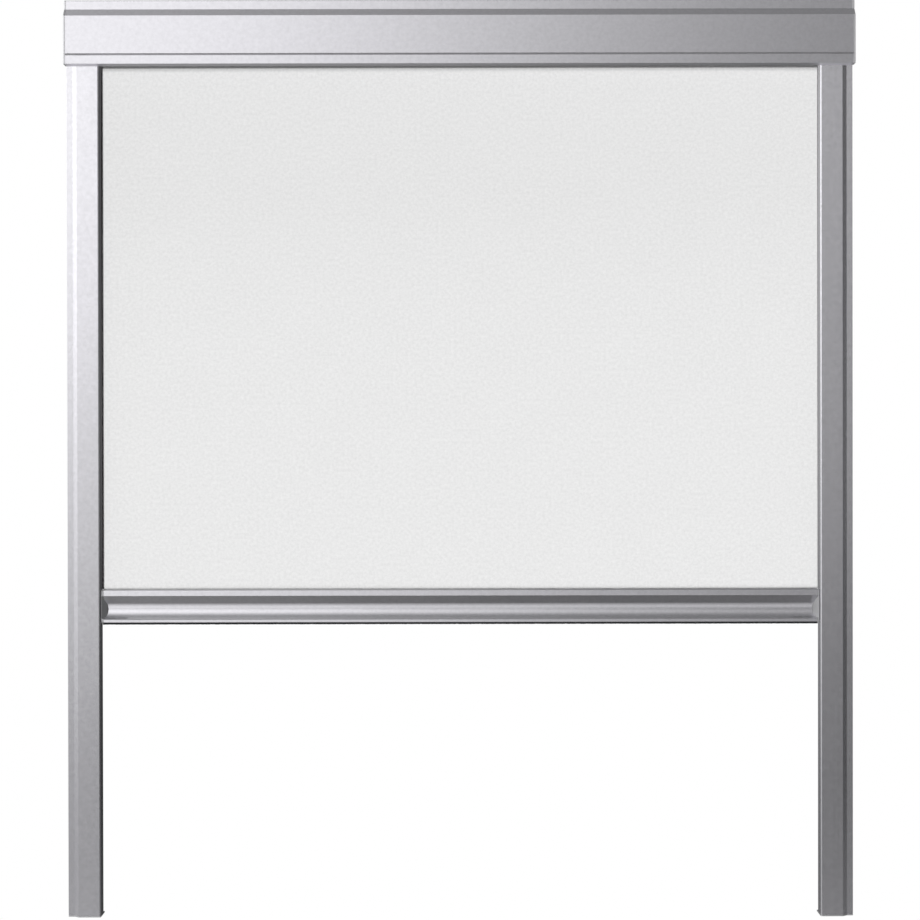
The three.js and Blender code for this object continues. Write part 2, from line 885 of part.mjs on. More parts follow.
function buildCarrier() {
  const outline = rounded(lowered([
    [0, carrierTopDrop],
    [carrierLedge, carrierTopDrop],
    [carrierLedge, carrierTopDrop + carrierWall],
    [carrierWall, carrierTopDrop + carrierWall, railEdgeRadius],
    [carrierWall, carrierBottomDrop - carrierWall],
    [carrierFoot, carrierBottomDrop - carrierWall],
    [carrierFoot, carrierBottomDrop],
    [0, carrierBottomDrop],
  ]));
  const profile = alongX(outline, -coverHalf, coverHalf);
  const slots = carrierHoleShares.flatMap((share) => [-share, share]).map((share) => {
    const middle = share * halfWidth;
    const half = carrierHoleLength / 2 - carrierHoleRadius;
    const slot = [
      ...arc(middle + half, 0, carrierHoleRadius, -Math.PI / 2, Math.PI / 2, smallSides / 2),
      ...arc(middle - half, 0, carrierHoleRadius, Math.PI / 2, 1.5 * Math.PI, smallSides / 2),
    ];
    return alongFront(slot, -cutOverrun, carrierWall + cutOverrun);
  });
  const screwHoles = bracketScrewPlaces().flatMap((place) => [
    screwHole(place.x, place.z),
    screwHole(-place.x, place.z),
  ]);
  add("carrier_profile", cut(profile, ...slots, ...screwHoles), aluminium);
}

function screwHole(x, z) {
  const outline = circle(x, z, screwRadius + seatGap, smallSides);
  return alongFront(outline, -cutOverrun, carrierWall + footThickness + cutOverrun);
}

function bracketScrewPlaces() {
  const x = -halfWidth + bracketScrewInset;
  return [bracketScrewSpread, -bracketScrewSpread].map((height) => new THREE.Vector3(x, 0, height));
}

// Roller brackets: foot on the carrier, side plate under the cover, base on the rail's top
// and a locator in the rail's chamber

function bracketBody() {
  const outer = -coverHalf;
  const inner = -halfWidth + bracketReach;
  const footBack = carrierWall + seatGap;
  const footFront = footBack + footThickness;
  const top = carrierTopDrop + carrierWall + hookThickness + 2 * fitGap;
  const baseTop = carrierBottomDrop - basePlateThickness;
  const ribTop = grooveDrop - ribHeight / 2;
  const baseFront = headDepth - coverWall - fitGap - ribThickness;
  const foot = alongX(lowered(box(footBack, footFront, top, carrierBottomDrop)), outer, inner);
  const side = alongX(rounded(lowered([
    [footBack, top],
    ...coverInside(fitGap, top, ribTop - fitGap),
    [baseFront, ribTop + ribThickness],
    [baseFront, carrierBottomDrop],
    [footBack, carrierBottomDrop],
  ])), -sidePlateOuter, -sidePlateInner);
  const base = alongX(
    lowered(box(footBack, baseFront, baseTop, carrierBottomDrop)),
    outer,
    inner,
  );
  const chamberFloor = chamberBack + fitGap;
  const locator = alongX(
    lowered(box(
      chamberFloor,
      chamberFloor + locatorThickness,
      carrierBottomDrop - basePlateThickness,
      carrierBottomDrop + locatorLength,
    )),
    outer + locatorInset,
    inner,
  );
  const pegHoles = pegDrops.map((drop) => alongX(
    circle(pegFront, fromTop(drop), pegRadius + fitGap, smallSides),
    -sidePlateOuter - cutOverrun,
    -sidePlateInner + cutOverrun,
  ));
  const screwHoles = bracketScrewPlaces().map((place) => screwHole(place.x, place.z));
  const carrierRebate = alongX(
    lowered(box(
      0,
      carrierFoot + fitGap,
      carrierBottomDrop - carrierWall - seatGap,
      carrierBottomDrop + cutOverrun,
    )),
    outer - cutOverrun,
    inner + cutOverrun,
  );
  return cut(join(foot, side, base, locator), carrierRebate, ...pegHoles, ...screwHoles);
}

// The left bracket's fork takes the shaft's tang, and the right bracket holds the idle bush.
function buildBrackets() {
  const height = fromTop(rollerDrop);
  const fork = alongX(
    box(
      rollerFront - shaftRadius - fitGap,
      headDepth,
      height - tangThickness / 2 - seatGap,
      height + tangThickness / 2 + seatGap,
    ),
    -sidePlateOuter - cutOverrun,
    -sidePlateInner + cutOverrun,
  );
  add("bracket_left", cut(bracketBody(), fork), greyPlastic);
  const seat = onAxis(
    idleBushRadius() + seatGap,
    sidePlateInner - cutOverrun,
    sidePlateOuter + cutOverrun,
  );
  add("bracket_right", cut(mirrored(bracketBody()), seat), greyPlastic);
  const headSeat = carrierWall + footThickness + 2 * seatGap;
  bracketScrewPlaces().forEach((place, index) => {
    const level = ["upper", "lower"][index];
    const fixing = screw(place.clone().setY(-headSeat), toBack, bracketScrewLength);
    addPair(`bracket_screw_${level}`, fixing, steel);
  });
}

// Bottom bar: slat, undercut, cove and lip in front, hem channel, chamber and screw port behind

const coveStartAngle = Math.PI - Math.acos((undercutDepth - coveSetback) / coveRadius);

// Cove from the undercut round to its lowest point, at a distance behind its surface
function coveArc(behind, endAngle) {
  const radius = coveRadius + behind;
  return arc(coveFront, -coveDrop, radius, coveStartAngle, endAngle, coveSteps)
    .map(([front, height]) => [front, -height]);
}

function barOutline() {
  const middle = barFront - sealSetback;
  const sealTop = barHeight - sealNeckHeight;
  const grooveTop = sealTop - sealGrooveHeight;
  const neckLeft = fabricFront - hemNeck / 2;
  const neckRight = fabricFront + hemNeck / 2;
  const channelLeft = fabricFront - hemChannelWidth / 2;
  const channelRight = fabricFront + hemChannelWidth / 2;
  const channelFloor = hemNeckHeight + hemChannelHeight;
  return rounded(lowered([
    [barFront, 0, slatRadius],
    [barFront, slatHeight, slatRadius],
    ...coveArc(0, 1.5 * Math.PI),
    [barFront, coveEndDrop + lipRise],
    [barFront, barHeight, slatRadius],
    [middle + sealNeck / 2, barHeight],
    [middle + sealNeck / 2, sealTop],
    [middle + sealGroove / 2, sealTop],
    [middle + sealGroove / 2, grooveTop],
    [middle - sealGroove / 2, grooveTop],
    [middle - sealGroove / 2, sealTop],
    [middle - sealNeck / 2, sealTop],
    [middle - sealNeck / 2, barHeight],
    [barBack, barHeight, slatRadius],
    [barBack, 0, slatRadius],
    [neckLeft, 0],
    [neckLeft, hemNeckHeight],
    [channelLeft, hemNeckHeight],
    [channelLeft, channelFloor],
    [channelRight, channelFloor],
    [channelRight, hemNeckHeight],
    [neckRight, hemNeckHeight],
    [neckRight, 0],
  ], barDrop));
}

function barChamber() {
  const inner = barBack + barWall;
  const boss = fabricFront + hemChannelWidth / 2 + barWall;
  const bossFloor = hemNeckHeight + hemChannelHeight + barWall;
  const floor = barHeight - barWall;
  const padWidth = portInset + portRadius + portWall;
  const slopeShift = barWall * Math.tan(Math.atan2(undercutDepth, undercutHeight) / 2);
  const sealWall = barFront - sealSetback - sealGroove / 2 - barWall;
  const coveEnd = Math.PI + Math.acos((coveFront - sealWall) / (coveRadius + barWall));
  return lowered([
    [boss, barWall],
    [barFront - barWall, barWall],
    [barFront - barWall, slatHeight - slopeShift],
    ...coveArc(barWall, coveEnd),
    [sealWall, floor],
    [barBack + padWidth, floor],
    [barBack + padWidth, barHeight - padWidth],
    [inner, barHeight - padWidth],
    [inner, bossFloor],
    [boss, bossFloor],
  ], barDrop);
}

// The port for the end cap's screw runs through the whole profile.
function portPlace() {
  return { front: barBack + portInset, drop: barDrop + barHeight - portInset };
}

function port(radius, fromX, toX) {
  const { front, drop } = portPlace();
  return alongX(circle(front, fromTop(drop), radius, smallSides), fromX, toX);
}

function tongueScrewPlace() {
  return { x: -profileHalf + glideScrewInset, z: fromTop(barDrop + tongueDrop + tongueHeight / 2) };
}

function buildBarProfile() {
  const { front, drop } = portPlace();
  const bore = circle(front, fromTop(drop), portRadius, smallSides);
  const profile = hollow(alongX, barOutline(), [barChamber(), bore], -profileHalf, profileHalf);
  const { x, z } = tongueScrewPlace();
  const holes = [x, -x].map((side) => alongFront(
    circle(side, z, screwRadius + seatGap, smallSides),
    barBack - cutOverrun,
    barBack + barWall + cutOverrun,
  ));
  add("bar_profile", cut(profile, ...holes), aluminium);
}

// The space of the finger grip, from its walls out past the slat
function gripOutline() {
  return lowered([
    [barFront - seatGap, slatHeight + 2 * seatGap],
    ...coveArc(-seatGap, 1.5 * Math.PI),
    [barFront - seatGap, coveEndDrop - seatGap],
  ], barDrop);
}

// End caps: a plate over the profile's end, a slanted wall that closes the finger grip,
// and a plug in the chamber with the slot that the glide's tongue comes through

function buildBarEnds() {
  const front = barFront - capSetback;
  const plateInner = -barHalf + capPlate;
  const plate = alongX(rounded(lowered([
    [barBack, 0, capRadius],
    [front, 0, capRadius],
    [front, barHeight, slatRadius],
    [barBack, barHeight, capRadius],
  ], barDrop)), -barHalf, plateInner);
  const pocketDepth = coveRadius + coveSetback;
  const slantOuter = -barHalf + capRim;
  const slantInner = slantOuter + capSlant;
  const pocketBack = barFront - pocketDepth;
  const slant = alongZ([
    [slantOuter, barFront],
    [slantOuter, pocketBack],
    [slantInner, pocketBack],
  ], fromTop(barDrop + barHeight), fromTop(barDrop));
  const grip = alongX(gripOutline(), slantOuter, slantInner);
  const plugBack = barBack + barWall + fitGap;
  const plugTop = hemNeckHeight + hemChannelHeight + barWall + fitGap;
  const plugBottom = barHeight - portInset - portRadius - portWall - fitGap;
  const plug = alongX(
    lowered(box(plugBack, plugBack + capPlugWidth, plugTop, plugBottom), barDrop),
    plateInner - seatGap,
    plateInner + capPlugLength,
  );
  const slot = alongX(
    lowered(box(
      fabricFront - tongueThickness / 2 - seatGap,
      fabricFront + tongueThickness / 2 + seatGap,
      tongueDrop - seatGap,
      tongueDrop + tongueHeight + seatGap,
    ), barDrop),
    -barHalf - cutOverrun,
    plateInner + capPlugLength + cutOverrun,
  );
  const hole = port(screwRadius + seatGap, -barHalf - cutOverrun, plateInner + cutOverrun);
  const counterbore = port(
    screwHeadRadius + fitGap,
    -barHalf - cutOverrun,
    -barHalf + capCounterbore,
  );
  const wall = overlapOf(slant, grip);
  const openPlate = join(cut(plate, grip), wall);
  addPair("bar_end", cut(join(openPlate, plug), slot, hole, counterbore), greyPlastic);

  const place = portPlace();
  const seatX = -barHalf + capCounterbore - seatGap;
  const seat = new THREE.Vector3(seatX, -place.front, fromTop(place.drop));
  addPair("bar_end_screw", screw(seat, toRight, barEndScrewLength), steel);
}

// Glides: a block in the rail's channel and a tongue through the slot into the bar, with a
// bowed leaf spring that brakes the bar on the channel's front wall

function buildGlides() {
  const blockLeft = inRail(railWall + glideHeadGap);
  const blockRight = inRail(channelEdge - fitGap);
  const top = fromTop(barDrop + glideDrop);
  const blockBack = railWall + glideSideGap;
  const blockFront = channelFront - glideSideGap;
  const block = alongFront(rounded([
    [blockLeft, top, glideRadius],
    [blockLeft, top - glideHeight, glideRadius],
    [blockRight, top - glideHeight, glideRadius],
    [blockRight, top, glideRadius],
  ]), blockBack, blockFront);
  const tongueTop = fromTop(barDrop + tongueDrop);
  const tongueEnd = inRail(railWidth - lipWidth) + tongueReach;
  const tongue = alongFront(
    box(blockRight - glideRadius, tongueEnd, tongueTop - tongueHeight, tongueTop),
    fabricFront - tongueThickness / 2,
    fabricFront + tongueThickness / 2,
  );
  const middle = (blockLeft + blockRight) / 2;
  const height = top - glideHeight / 2;
  const recess = alongFront(
    box(
      middle - brakeWidth / 2 - fitGap,
      middle + brakeWidth / 2 + fitGap,
      height - brakeHeight / 2 - fitGap,
      height + brakeHeight / 2 + fitGap,
    ),
    blockFront - brakeRecess,
    blockFront + cutOverrun,
  );
  const { x, z } = tongueScrewPlace();
  const hole = alongFront(circle(x, z, screwRadius + seatGap, smallSides), barBack, barFront);
  addPair("glide", cut(join(block, tongue), recess, hole), nylon);
  const seat = new THREE.Vector3(x, -barBack + seatGap, z);
  addPair("glide_screw", screw(seat, toFront, glideScrewLength), steel);
  addPair("brake_spring", brakeLeaf(middle, height, blockFront - brakeRecess + seatGap), steel);
}

// A leaf bowed towards the channel's front wall, drawn as two parallel arcs
function brakeLeaf(middle, height, floor) {
  const crown = channelFront - seatGap - floor - brakeThickness;
  const chord = brakeHeight / 2;
  const radius = (chord ** 2 + crown ** 2) / (2 * crown);
  const halfSweep = Math.asin(chord / radius);
  const centre = floor + crown - radius;
  const outer = arc(centre, height, radius + brakeThickness, -halfSweep, halfSweep, brakeSteps);
  const inner = arc(centre, height, radius, halfSweep, -halfSweep, brakeSteps);
  return alongX([...outer, ...inner], middle - brakeWidth / 2, middle + brakeWidth / 2);
}

// Seal under the bar: a foot in the groove and a pile blade as long as the bar

function buildSeal() {
  const middle = barFront - sealSetback;
  const sealTop = barHeight - sealNeckHeight;
  const grooveTop = sealTop - sealGrooveHeight;
  const foot = alongX(lowered([
    [middle - sealGroove / 2 + seatGap, grooveTop + seatGap],
    [middle + sealGroove / 2 - seatGap, grooveTop + seatGap],
    [middle + sealGroove / 2 - seatGap, sealTop - seatGap],
    [middle + sealNeck / 2 - seatGap, sealTop - seatGap],
    [middle + sealNeck / 2 - seatGap, barHeight + 2 * seatGap],
    [middle - sealNeck / 2 + seatGap, barHeight + 2 * seatGap],
    [middle - sealNeck / 2 + seatGap, sealTop - seatGap],
    [middle - sealGroove / 2 + seatGap, sealTop - seatGap],
  ], barDrop), -profileHalf, profileHalf);
  const blade = alongX(
    lowered(box(
      middle - sealNeck / 2,
      middle + sealNeck / 2,
      barHeight + seatGap,
      barHeight + sealProud,
    ), barDrop),
    -barHalf + sealEndInset,
    barHalf - sealEndInset,
  );
  add("bar_seal", join(foot, blade), blackPile);
}

buildCarrier();
buildCasing();
buildBrackets();
buildRails();
buildPileStrips();
buildRailFeet();
buildTube();
buildSpringMotor();
buildIdleEnd();
buildFabric();
buildBarProfile();
buildBarEnds();
buildGlides();
buildSeal();

console.log(`head depth: ${headDepth.toFixed(2)} mm`);
console.log(`bar travel: ${travelUp.toFixed(1)} mm up, ${travelDown.toFixed(1)} mm down`);
console.log(`roll radius: ${rollRadius.toFixed(2)} mm as shown, ${fullRadius.toFixed(2)} mm when raised`);

export default blind;
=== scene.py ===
# Roller blind for a roof window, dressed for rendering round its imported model.
#
# Metres, +X to the right, +Y away from the viewer towards the sash, +Z up, as in the model.
# "Front" is a distance from the back plane towards the viewer, so it runs against +Y.
# "Drop" is a distance down from the head's top, and "across" one in from a rail's outer side.

import math

import bmesh
import bpy
from mathutils import Matrix, Vector, noise


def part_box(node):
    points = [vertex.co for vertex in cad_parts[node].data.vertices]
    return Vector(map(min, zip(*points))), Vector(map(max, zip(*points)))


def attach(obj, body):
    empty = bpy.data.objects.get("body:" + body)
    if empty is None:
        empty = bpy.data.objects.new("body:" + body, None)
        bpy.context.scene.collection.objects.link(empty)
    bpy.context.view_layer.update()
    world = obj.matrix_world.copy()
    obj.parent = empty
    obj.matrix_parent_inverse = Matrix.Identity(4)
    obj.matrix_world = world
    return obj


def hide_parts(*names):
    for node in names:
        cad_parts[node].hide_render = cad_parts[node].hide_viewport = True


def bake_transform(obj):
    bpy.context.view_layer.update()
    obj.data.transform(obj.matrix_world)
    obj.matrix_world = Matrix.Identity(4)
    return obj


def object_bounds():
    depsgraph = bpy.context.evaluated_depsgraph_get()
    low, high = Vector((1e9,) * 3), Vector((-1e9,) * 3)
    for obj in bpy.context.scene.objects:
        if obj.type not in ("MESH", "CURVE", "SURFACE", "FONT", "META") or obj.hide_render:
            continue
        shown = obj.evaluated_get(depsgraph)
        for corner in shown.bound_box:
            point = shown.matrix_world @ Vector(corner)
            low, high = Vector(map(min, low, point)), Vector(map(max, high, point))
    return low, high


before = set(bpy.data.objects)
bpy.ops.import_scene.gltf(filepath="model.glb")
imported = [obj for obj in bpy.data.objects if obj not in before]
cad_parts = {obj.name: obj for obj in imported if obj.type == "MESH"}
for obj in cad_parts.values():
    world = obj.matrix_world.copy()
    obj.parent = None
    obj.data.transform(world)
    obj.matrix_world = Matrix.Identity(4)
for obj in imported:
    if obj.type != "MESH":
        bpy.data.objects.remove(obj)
cad_low, cad_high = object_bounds()

MM = 0.001
RIGHT = Vector((1, 0, 0))
UP = Vector((0, 0, 1))
ALONG_X = (-RIGHT, RIGHT)
ALONG_Z = (-UP, UP)
SIDES = ((-1, "left"), (1, "right"))

# Sizes of the whole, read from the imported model
HEAD_TOP = cad_high.z
HALF_WIDTH = cad_high.x
HEAD_DEPTH = -cad_low.y
HEAD_HEIGHT = 50 * MM

# Clearances and facets
SEAT_GAP = 0.1 * MM
FIT_GAP = 0.3 * MM
WELD = 0.002 * MM
ARC_STEPS = 5
LARGE_ARC_STEPS = 14
ROUND_SIDES = 64
SMALL_SIDES = 24
SHARP_ANGLE = math.radians(32)
EDGE_BREAK = 0.18 * MM
EDGE_STEPS = 2
SAME_WAY = 0.99
TINY = 0.0001

# Rail
RAIL_WIDTH = 25.5 * MM
RAIL_DEPTH = 23 * MM
FLANGE_DEPTH = 20 * MM
FLANGE_WIDTH = 4.6 * MM
SLOPE_WIDTH = 3.6 * MM
RAIL_WALL = 1.3 * MM
RAIL_EDGE = 0.3 * MM
RAIL_INNER_RADIUS = 1.1 * MM
CHANNEL_DEPTH = 10.7 * MM
LIP_WIDTH = 3.9 * MM
SLOT_WIDTH = 6.4 * MM
BACK_LIP_SETBACK = 1.6 * MM
FOOT_PLATE = 1.2 * MM
FOOT_STOP = 6 * MM

# Pile strips in the rail
PILE_GROOVE_WIDTH = 2.6 * MM
PILE_GROOVE_DEPTH = 0.9 * MM
PILE_GROOVE_LAND = 0.7 * MM
PILE_OPENING = 2 * MM
PILE_TIP = 0.5 * MM
PILE_SETBACK = 0.7 * MM
PILE_STEP = 1.2 * MM
PILE_JITTER = 0.16 * MM
FRAY_SCALE = 900

# Fabric and roller
FABRIC_FRONT = 7.2 * MM
FABRIC_THICKNESS = 0.35 * MM
HEM_ROD_RADIUS = 1.6 * MM
SHEET_ROWS = 90
SHEET_COLUMNS = 12
TUCK_ROWS = 4

# Casing
COVER_WALL = 1.2 * MM
TOP_SETBACK = 4.9 * MM
TOP_BAND = 7.1 * MM
SLOPE_HEIGHT = 5.6 * MM
TOP_RADIUS = 1 * MM
COVER_EDGE = 0.5 * MM
GROOVE_RISE = 7.5 * MM
GROOVE_DEPTH = 0.8 * MM
RIB = 1 * MM
RIB_HEIGHT = 4 * MM
RETURN_GAP = 0.4 * MM
COVER_BACK_GAP = 0.4 * MM
HOOK_FRONT = 10 * MM
HOOK_REACH = 1.8 * MM
HOOK_TOP = 3.2 * MM
HOOK_THICKNESS = 1 * MM

# Casing ends
END_PLATE = 1.4 * MM
RIM = 1.2 * MM
RIM_LENGTH = 2.5 * MM
RIM_BACK_CLEAR = 2 * MM
BASE_PLATE = 2.4 * MM
PEG_RADIUS = 1.5 * MM
PEG_FRONT = 25.5 * MM
PEG_DROPS = (15 * MM, 35 * MM)

# Bottom bar
BAR_BACK = 3 * MM
BAR_FRONT = 20 * MM
SLAT_HEIGHT = 4.2 * MM
SLAT_EDGE = 0.4 * MM
UNDERCUT_DEPTH = 6 * MM
UNDERCUT_HEIGHT = 5.9 * MM
COVE_RADIUS = 7 * MM
COVE_SETBACK = 1 * MM
LIP_RISE = 0.9 * MM
NECK_WIDTH = 1.5 * MM
NECK_HEIGHT = 1.8 * MM
HEM_CHANNEL_WIDTH = 5 * MM
HEM_CHANNEL_HEIGHT = 4.6 * MM
SEAL_SETBACK = 2.8 * MM
SEAL_NECK = 2.2 * MM
SEAL_NECK_HEIGHT = 0.8 * MM
SEAL_GROOVE = 3.6 * MM
SEAL_GROOVE_HEIGHT = 1 * MM

# Bottom bar's end caps
CAP_PLATE = 2 * MM
CAP_SETBACK = 0.1 * MM
CAP_RADIUS = 0.5 * MM
CAP_RIM = 0.4 * MM
CAP_SLANT = 4.3 * MM
PLUG_BACK = 1.6 * MM
PLUG_FRONT = 3.3 * MM
PLUG_TOP = 8 * MM
PLUG_BOTTOM = 18.9 * MM
PLUG_LENGTH = 6 * MM

# Spring
SPRING_CURLS = 30
SPRING_STEPS = 28
SPRING_SIDES = 10
WIRE_RADIUS = 0.6 * MM

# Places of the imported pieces
rail_low, rail_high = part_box("rail_left")
bar_low, bar_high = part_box("bar_profile")
cover_low, cover_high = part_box("casing_cover")
sheet_low, sheet_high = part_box("fabric_sheet")
roll_low, roll_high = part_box("fabric_roll")
tube_low, tube_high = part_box("roller_tube")
hem_low, hem_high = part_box("hem_rod")
carrier_low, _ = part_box("carrier_profile")

# Worked out from the sizes and places above
SLOT_BACK = FABRIC_FRONT - SLOT_WIDTH / 2
SLOT_FRONT = FABRIC_FRONT + SLOT_WIDTH / 2
CHANNEL_FRONT = RAIL_WALL + CHANNEL_DEPTH
BACK_LIP_EDGE = RAIL_WIDTH - BACK_LIP_SETBACK
CHANNEL_EDGE = BACK_LIP_EDGE - LIP_WIDTH
CARRIER_BOTTOM = HEAD_TOP - carrier_low.z
ROLL_CENTRE = (tube_low + tube_high) / 2
ROLL_RADIUS = -roll_low.y + ROLL_CENTRE.y
BAR_DROP = HEAD_TOP - bar_high.z
BAR_HEIGHT = bar_high.z - bar_low.z
COVE_FRONT = BAR_FRONT - COVE_SETBACK
COVE_DROP = SLAT_HEIGHT + UNDERCUT_HEIGHT + math.sqrt(
    COVE_RADIUS**2 - (UNDERCUT_DEPTH - COVE_SETBACK) ** 2
)
COVE_BACK = COVE_FRONT - COVE_RADIUS
COVE_END = COVE_DROP + COVE_RADIUS
SEAL_MIDDLE = BAR_FRONT - SEAL_SETBACK
SEAL_TOP = BAR_HEIGHT - SEAL_NECK_HEIGHT
SEAL_GROOVE_TOP = SEAL_TOP - SEAL_GROOVE_HEIGHT


def place(x, front, drop):
    """Point at a front and a drop."""
    return Vector((x, -front, HEAD_TOP - drop))


def in_bar(front, drop, *rounding):
    """Corner of the bottom bar, at a drop from the bar's own top."""
    return (front, BAR_DROP + drop, *rounding)


# Building pieces


def outline_face(bm, corners, point):
    """One flat face through the corners (a, b, radius, steps), each rounded to its radius."""
    verts = [bm.verts.new(point(corner[0], corner[1])) for corner in corners]
    bm.faces.new(verts)
    for vert, corner in zip(verts, corners):
        radius = corner[2] if len(corner) > 2 else 0
        if radius:
            before, after = (edge.other_vert(vert).co - vert.co for edge in vert.link_edges)
            bmesh.ops.bevel(
                bm,
                geom=[vert],
                offset=radius / math.tan(before.angle(after) / 2),
                segments=corner[3] if len(corner) > 3 else ARC_STEPS,
                affect="VERTICES",
                profile=0.5,
                material=-1,
            )
    bmesh.ops.remove_doubles(bm, verts=bm.verts, dist=WELD)
    return bm


def sweep(corners, point, travel):
    """A solid bar of one section, from the section's plane along travel."""
    bm = outline_face(bmesh.new(), corners, point)
    grown = bmesh.ops.extrude_face_region(bm, geom=bm.faces[:])["geom"]
    moved = [part for part in grown if isinstance(part, bmesh.types.BMVert)]
    bmesh.ops.translate(bm, vec=travel, verts=moved)
    bmesh.ops.recalc_face_normals(bm, faces=bm.faces)
    return bm


def sweep_x(corners, start, end):
    """A bar along X, with its corners as (front, drop)."""

    def point(front, drop):
        return place(start, front, drop)

    return sweep(corners, point, (end - start) * RIGHT)


def sweep_z(corners, side, low, high):
    """A bar along Z in a rail's place, with its corners as (across, front)."""

    def point(across, front):
        return Vector((side * (HALF_WIDTH - across), -front, low))

    return sweep(corners, point, (high - low) * UP)


def block(low, high):
    """A box between two corners."""
    bm = bmesh.new()
    bmesh.ops.create_cube(bm, size=1)
    size = high - low
    bmesh.ops.scale(bm, vec=Vector(abs(part) for part in size), verts=bm.verts)
    bmesh.ops.translate(bm, vec=(low + high) / 2, verts=bm.verts)
    return bm


def rod(radius, start, end):
    """A closed round rod from one point to another along X."""
    bm = bmesh.new()
    bmesh.ops.create_cone(
        bm,
        cap_ends=True,
        segments=SMALL_SIDES,
        radius1=radius,
        radius2=radius,
        depth=abs(end.x - start.x),
        matrix=Matrix.Translation((start + end) / 2) @ Matrix.Rotation(math.pi / 2, 4, "Y"),
    )
    return bm


def break_end_edges(bm, *ways, width=EDGE_BREAK):
    """Softens the rims of the end faces that look one of the ways."""
    ends = [face for face in bm.faces if any(face.normal.dot(way) > SAME_WAY for way in ways)]
    rims = {edge for face in ends for edge in face.edges}
    bmesh.ops.bevel(
        bm,
        geom=list(rims),
        offset=width,
        segments=EDGE_STEPS,
        affect="EDGES",
        profile=0.5,
        material=-1,
        clamp_overlap=True,
    )
    return bm


def slice_along(bm, axis, low, high, step):
    """Cuts a bar into short lengths."""
    count = int((high - low) / step)
    for cut in range(1, count):
        bmesh.ops.bisect_plane(
            bm,
            geom=bm.verts[:] + bm.edges[:] + bm.faces[:],
            plane_co=axis * (low + (high - low) * cut / count),
            plane_no=axis,
        )


def fray(tips, direction):
    """Lets the pile's tips end unevenly."""
    for vert in tips:
        vert.co += direction * PILE_JITTER * noise.noise(vert.co * FRAY_SCALE)


def merged(*meshes):
    """All the meshes in one."""
    whole = bmesh.new()
    for bm in meshes:
        part = bpy.data.meshes.new("part")
        bm.to_mesh(part)
        bm.free()
        whole.from_mesh(part)
        bpy.data.meshes.remove(part)
    return whole


def lay_grain(bm, axis):
    """UV map with its first direction along the grain, for the drawn metals and the cloth."""
    layer = bm.loops.layers.uv.new("grain")
    for face in bm.faces:
        across = face.normal.cross(axis)
        if across.length < TINY:
            across = Vector((0, 1, 0))
        for loop in face.loops:
            loop[layer].uv = (loop.vert.co.dot(axis), loop.vert.co.dot(across))


def make_piece(name, bm, finish, slot, body, *nodes, grain=RIGHT, mirrored=False):
    """Finishes a piece, hangs it on its body and hides the nodes that it stands for. Only a
    mirrored piece shows in the metal beside it."""
    bmesh.ops.recalc_face_normals(bm, faces=bm.faces)
    lay_grain(bm, grain)
    mesh = bpy.data.meshes.new(name)
    bm.to_mesh(mesh)
    bm.free()
    mesh.shade_smooth()
    mesh.set_sharp_from_angle(angle=SHARP_ANGLE)
    mesh.materials.append(finish)
    piece = bpy.data.objects.new(name, mesh)
    bpy.context.scene.collection.objects.link(piece)
    piece.visible_diffuse = False
    piece.visible_glossy = mirrored
    flat_faces = piece.modifiers.new("flat faces stay flat", "WEIGHTED_NORMAL")
    flat_faces.keep_sharp = True
    if body:
        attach(piece, body)
    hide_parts(*nodes)
    return piece


# Nodes of a material or of the world


def plug(tree, socket, value):
    """Links an output to a socket, or sets the socket to a plain value or an opaque colour."""
    if isinstance(value, bpy.types.NodeSocket):
        tree.links.new(value, socket)
    elif socket.type == "RGBA":
        socket.default_value = (*value, 1)
    else:
        socket.default_value = value


def set_inputs(tree, node, inputs):
    """Links or sets each input that is named, or numbered where names repeat."""
    for key, value in inputs.items():
        plug(tree, node.inputs[key], value)


def add_node(tree, kind, inputs, **settings):
    """A node with its settings and inputs."""
    made = tree.nodes.new(kind)
    for key, value in settings.items():
        setattr(made, key, value)
    set_inputs(tree, made, inputs)
    return made


def combine(tree, operation, first, second):
    """Two values in one sum or product, or the larger of them."""
    made = add_node(tree, "ShaderNodeMath", {0: first, 1: second}, operation=operation)
    return made.outputs["Value"]


def mix(tree, share, first, second):
    """A colour between two, by a share."""
    made = add_node(tree, "ShaderNodeMix", {0: share}, data_type="RGBA")
    ends = [socket for socket in made.inputs if socket.type == "RGBA"]
    for socket, colour in zip(ends, (first, second)):
        plug(tree, socket, colour)
    return next(socket for socket in made.outputs if socket.type == "RGBA")


def coordinates(tree, stretch, kind):
    """Places on a piece, with a scale for each axis."""
    where = add_node(tree, "ShaderNodeTexCoord", {})
    inputs = {"Vector": where.outputs[kind], "Scale": stretch}
    return add_node(tree, "ShaderNodeMapping", inputs).outputs["Vector"]


def add_noise(tree, size, detail=3, roughness=0.55, stretch=(1, 1, 1), kind="Object"):
    """A random pattern from 0 to 1, with its size in repeats a metre."""
    inputs = {
        "Vector": coordinates(tree, stretch, kind),
        "Scale": size,
        "Detail": detail,
        "Roughness": roughness,
    }
    return add_node(tree, "ShaderNodeTexNoise", inputs).outputs["Fac"]


def vary(tree, pattern, middle, less, more):
    """A value that a pattern moves from its middle, less or more."""
    inputs = {"Value": pattern, "To Min": middle - less, "To Max": middle + more}
    return add_node(tree, "ShaderNodeMapRange", inputs).outputs["Result"]


def tint(tree, pattern, colour, darkest, lightest=1.0):
    """A colour that a pattern makes darker and lighter, in shares of it."""
    ends = [tuple(part * share for part in colour) for share in (darkest, lightest)]
    return mix(tree, pattern, *ends)


def bump(tree, height, distance, strength):
    """A relief of a pattern."""
    inputs = {"Height": height, "Distance": distance, "Strength": strength}
    return add_node(tree, "ShaderNodeBump", inputs).outputs["Normal"]


def new_finish(name):
    """A material with its nodes and its shader."""
    material = bpy.data.materials.new(name)
    material.use_nodes = True
    tree = material.node_tree
    return material, tree, tree.nodes["Principled BSDF"]


# Materials, with their patterns in repeats a metre

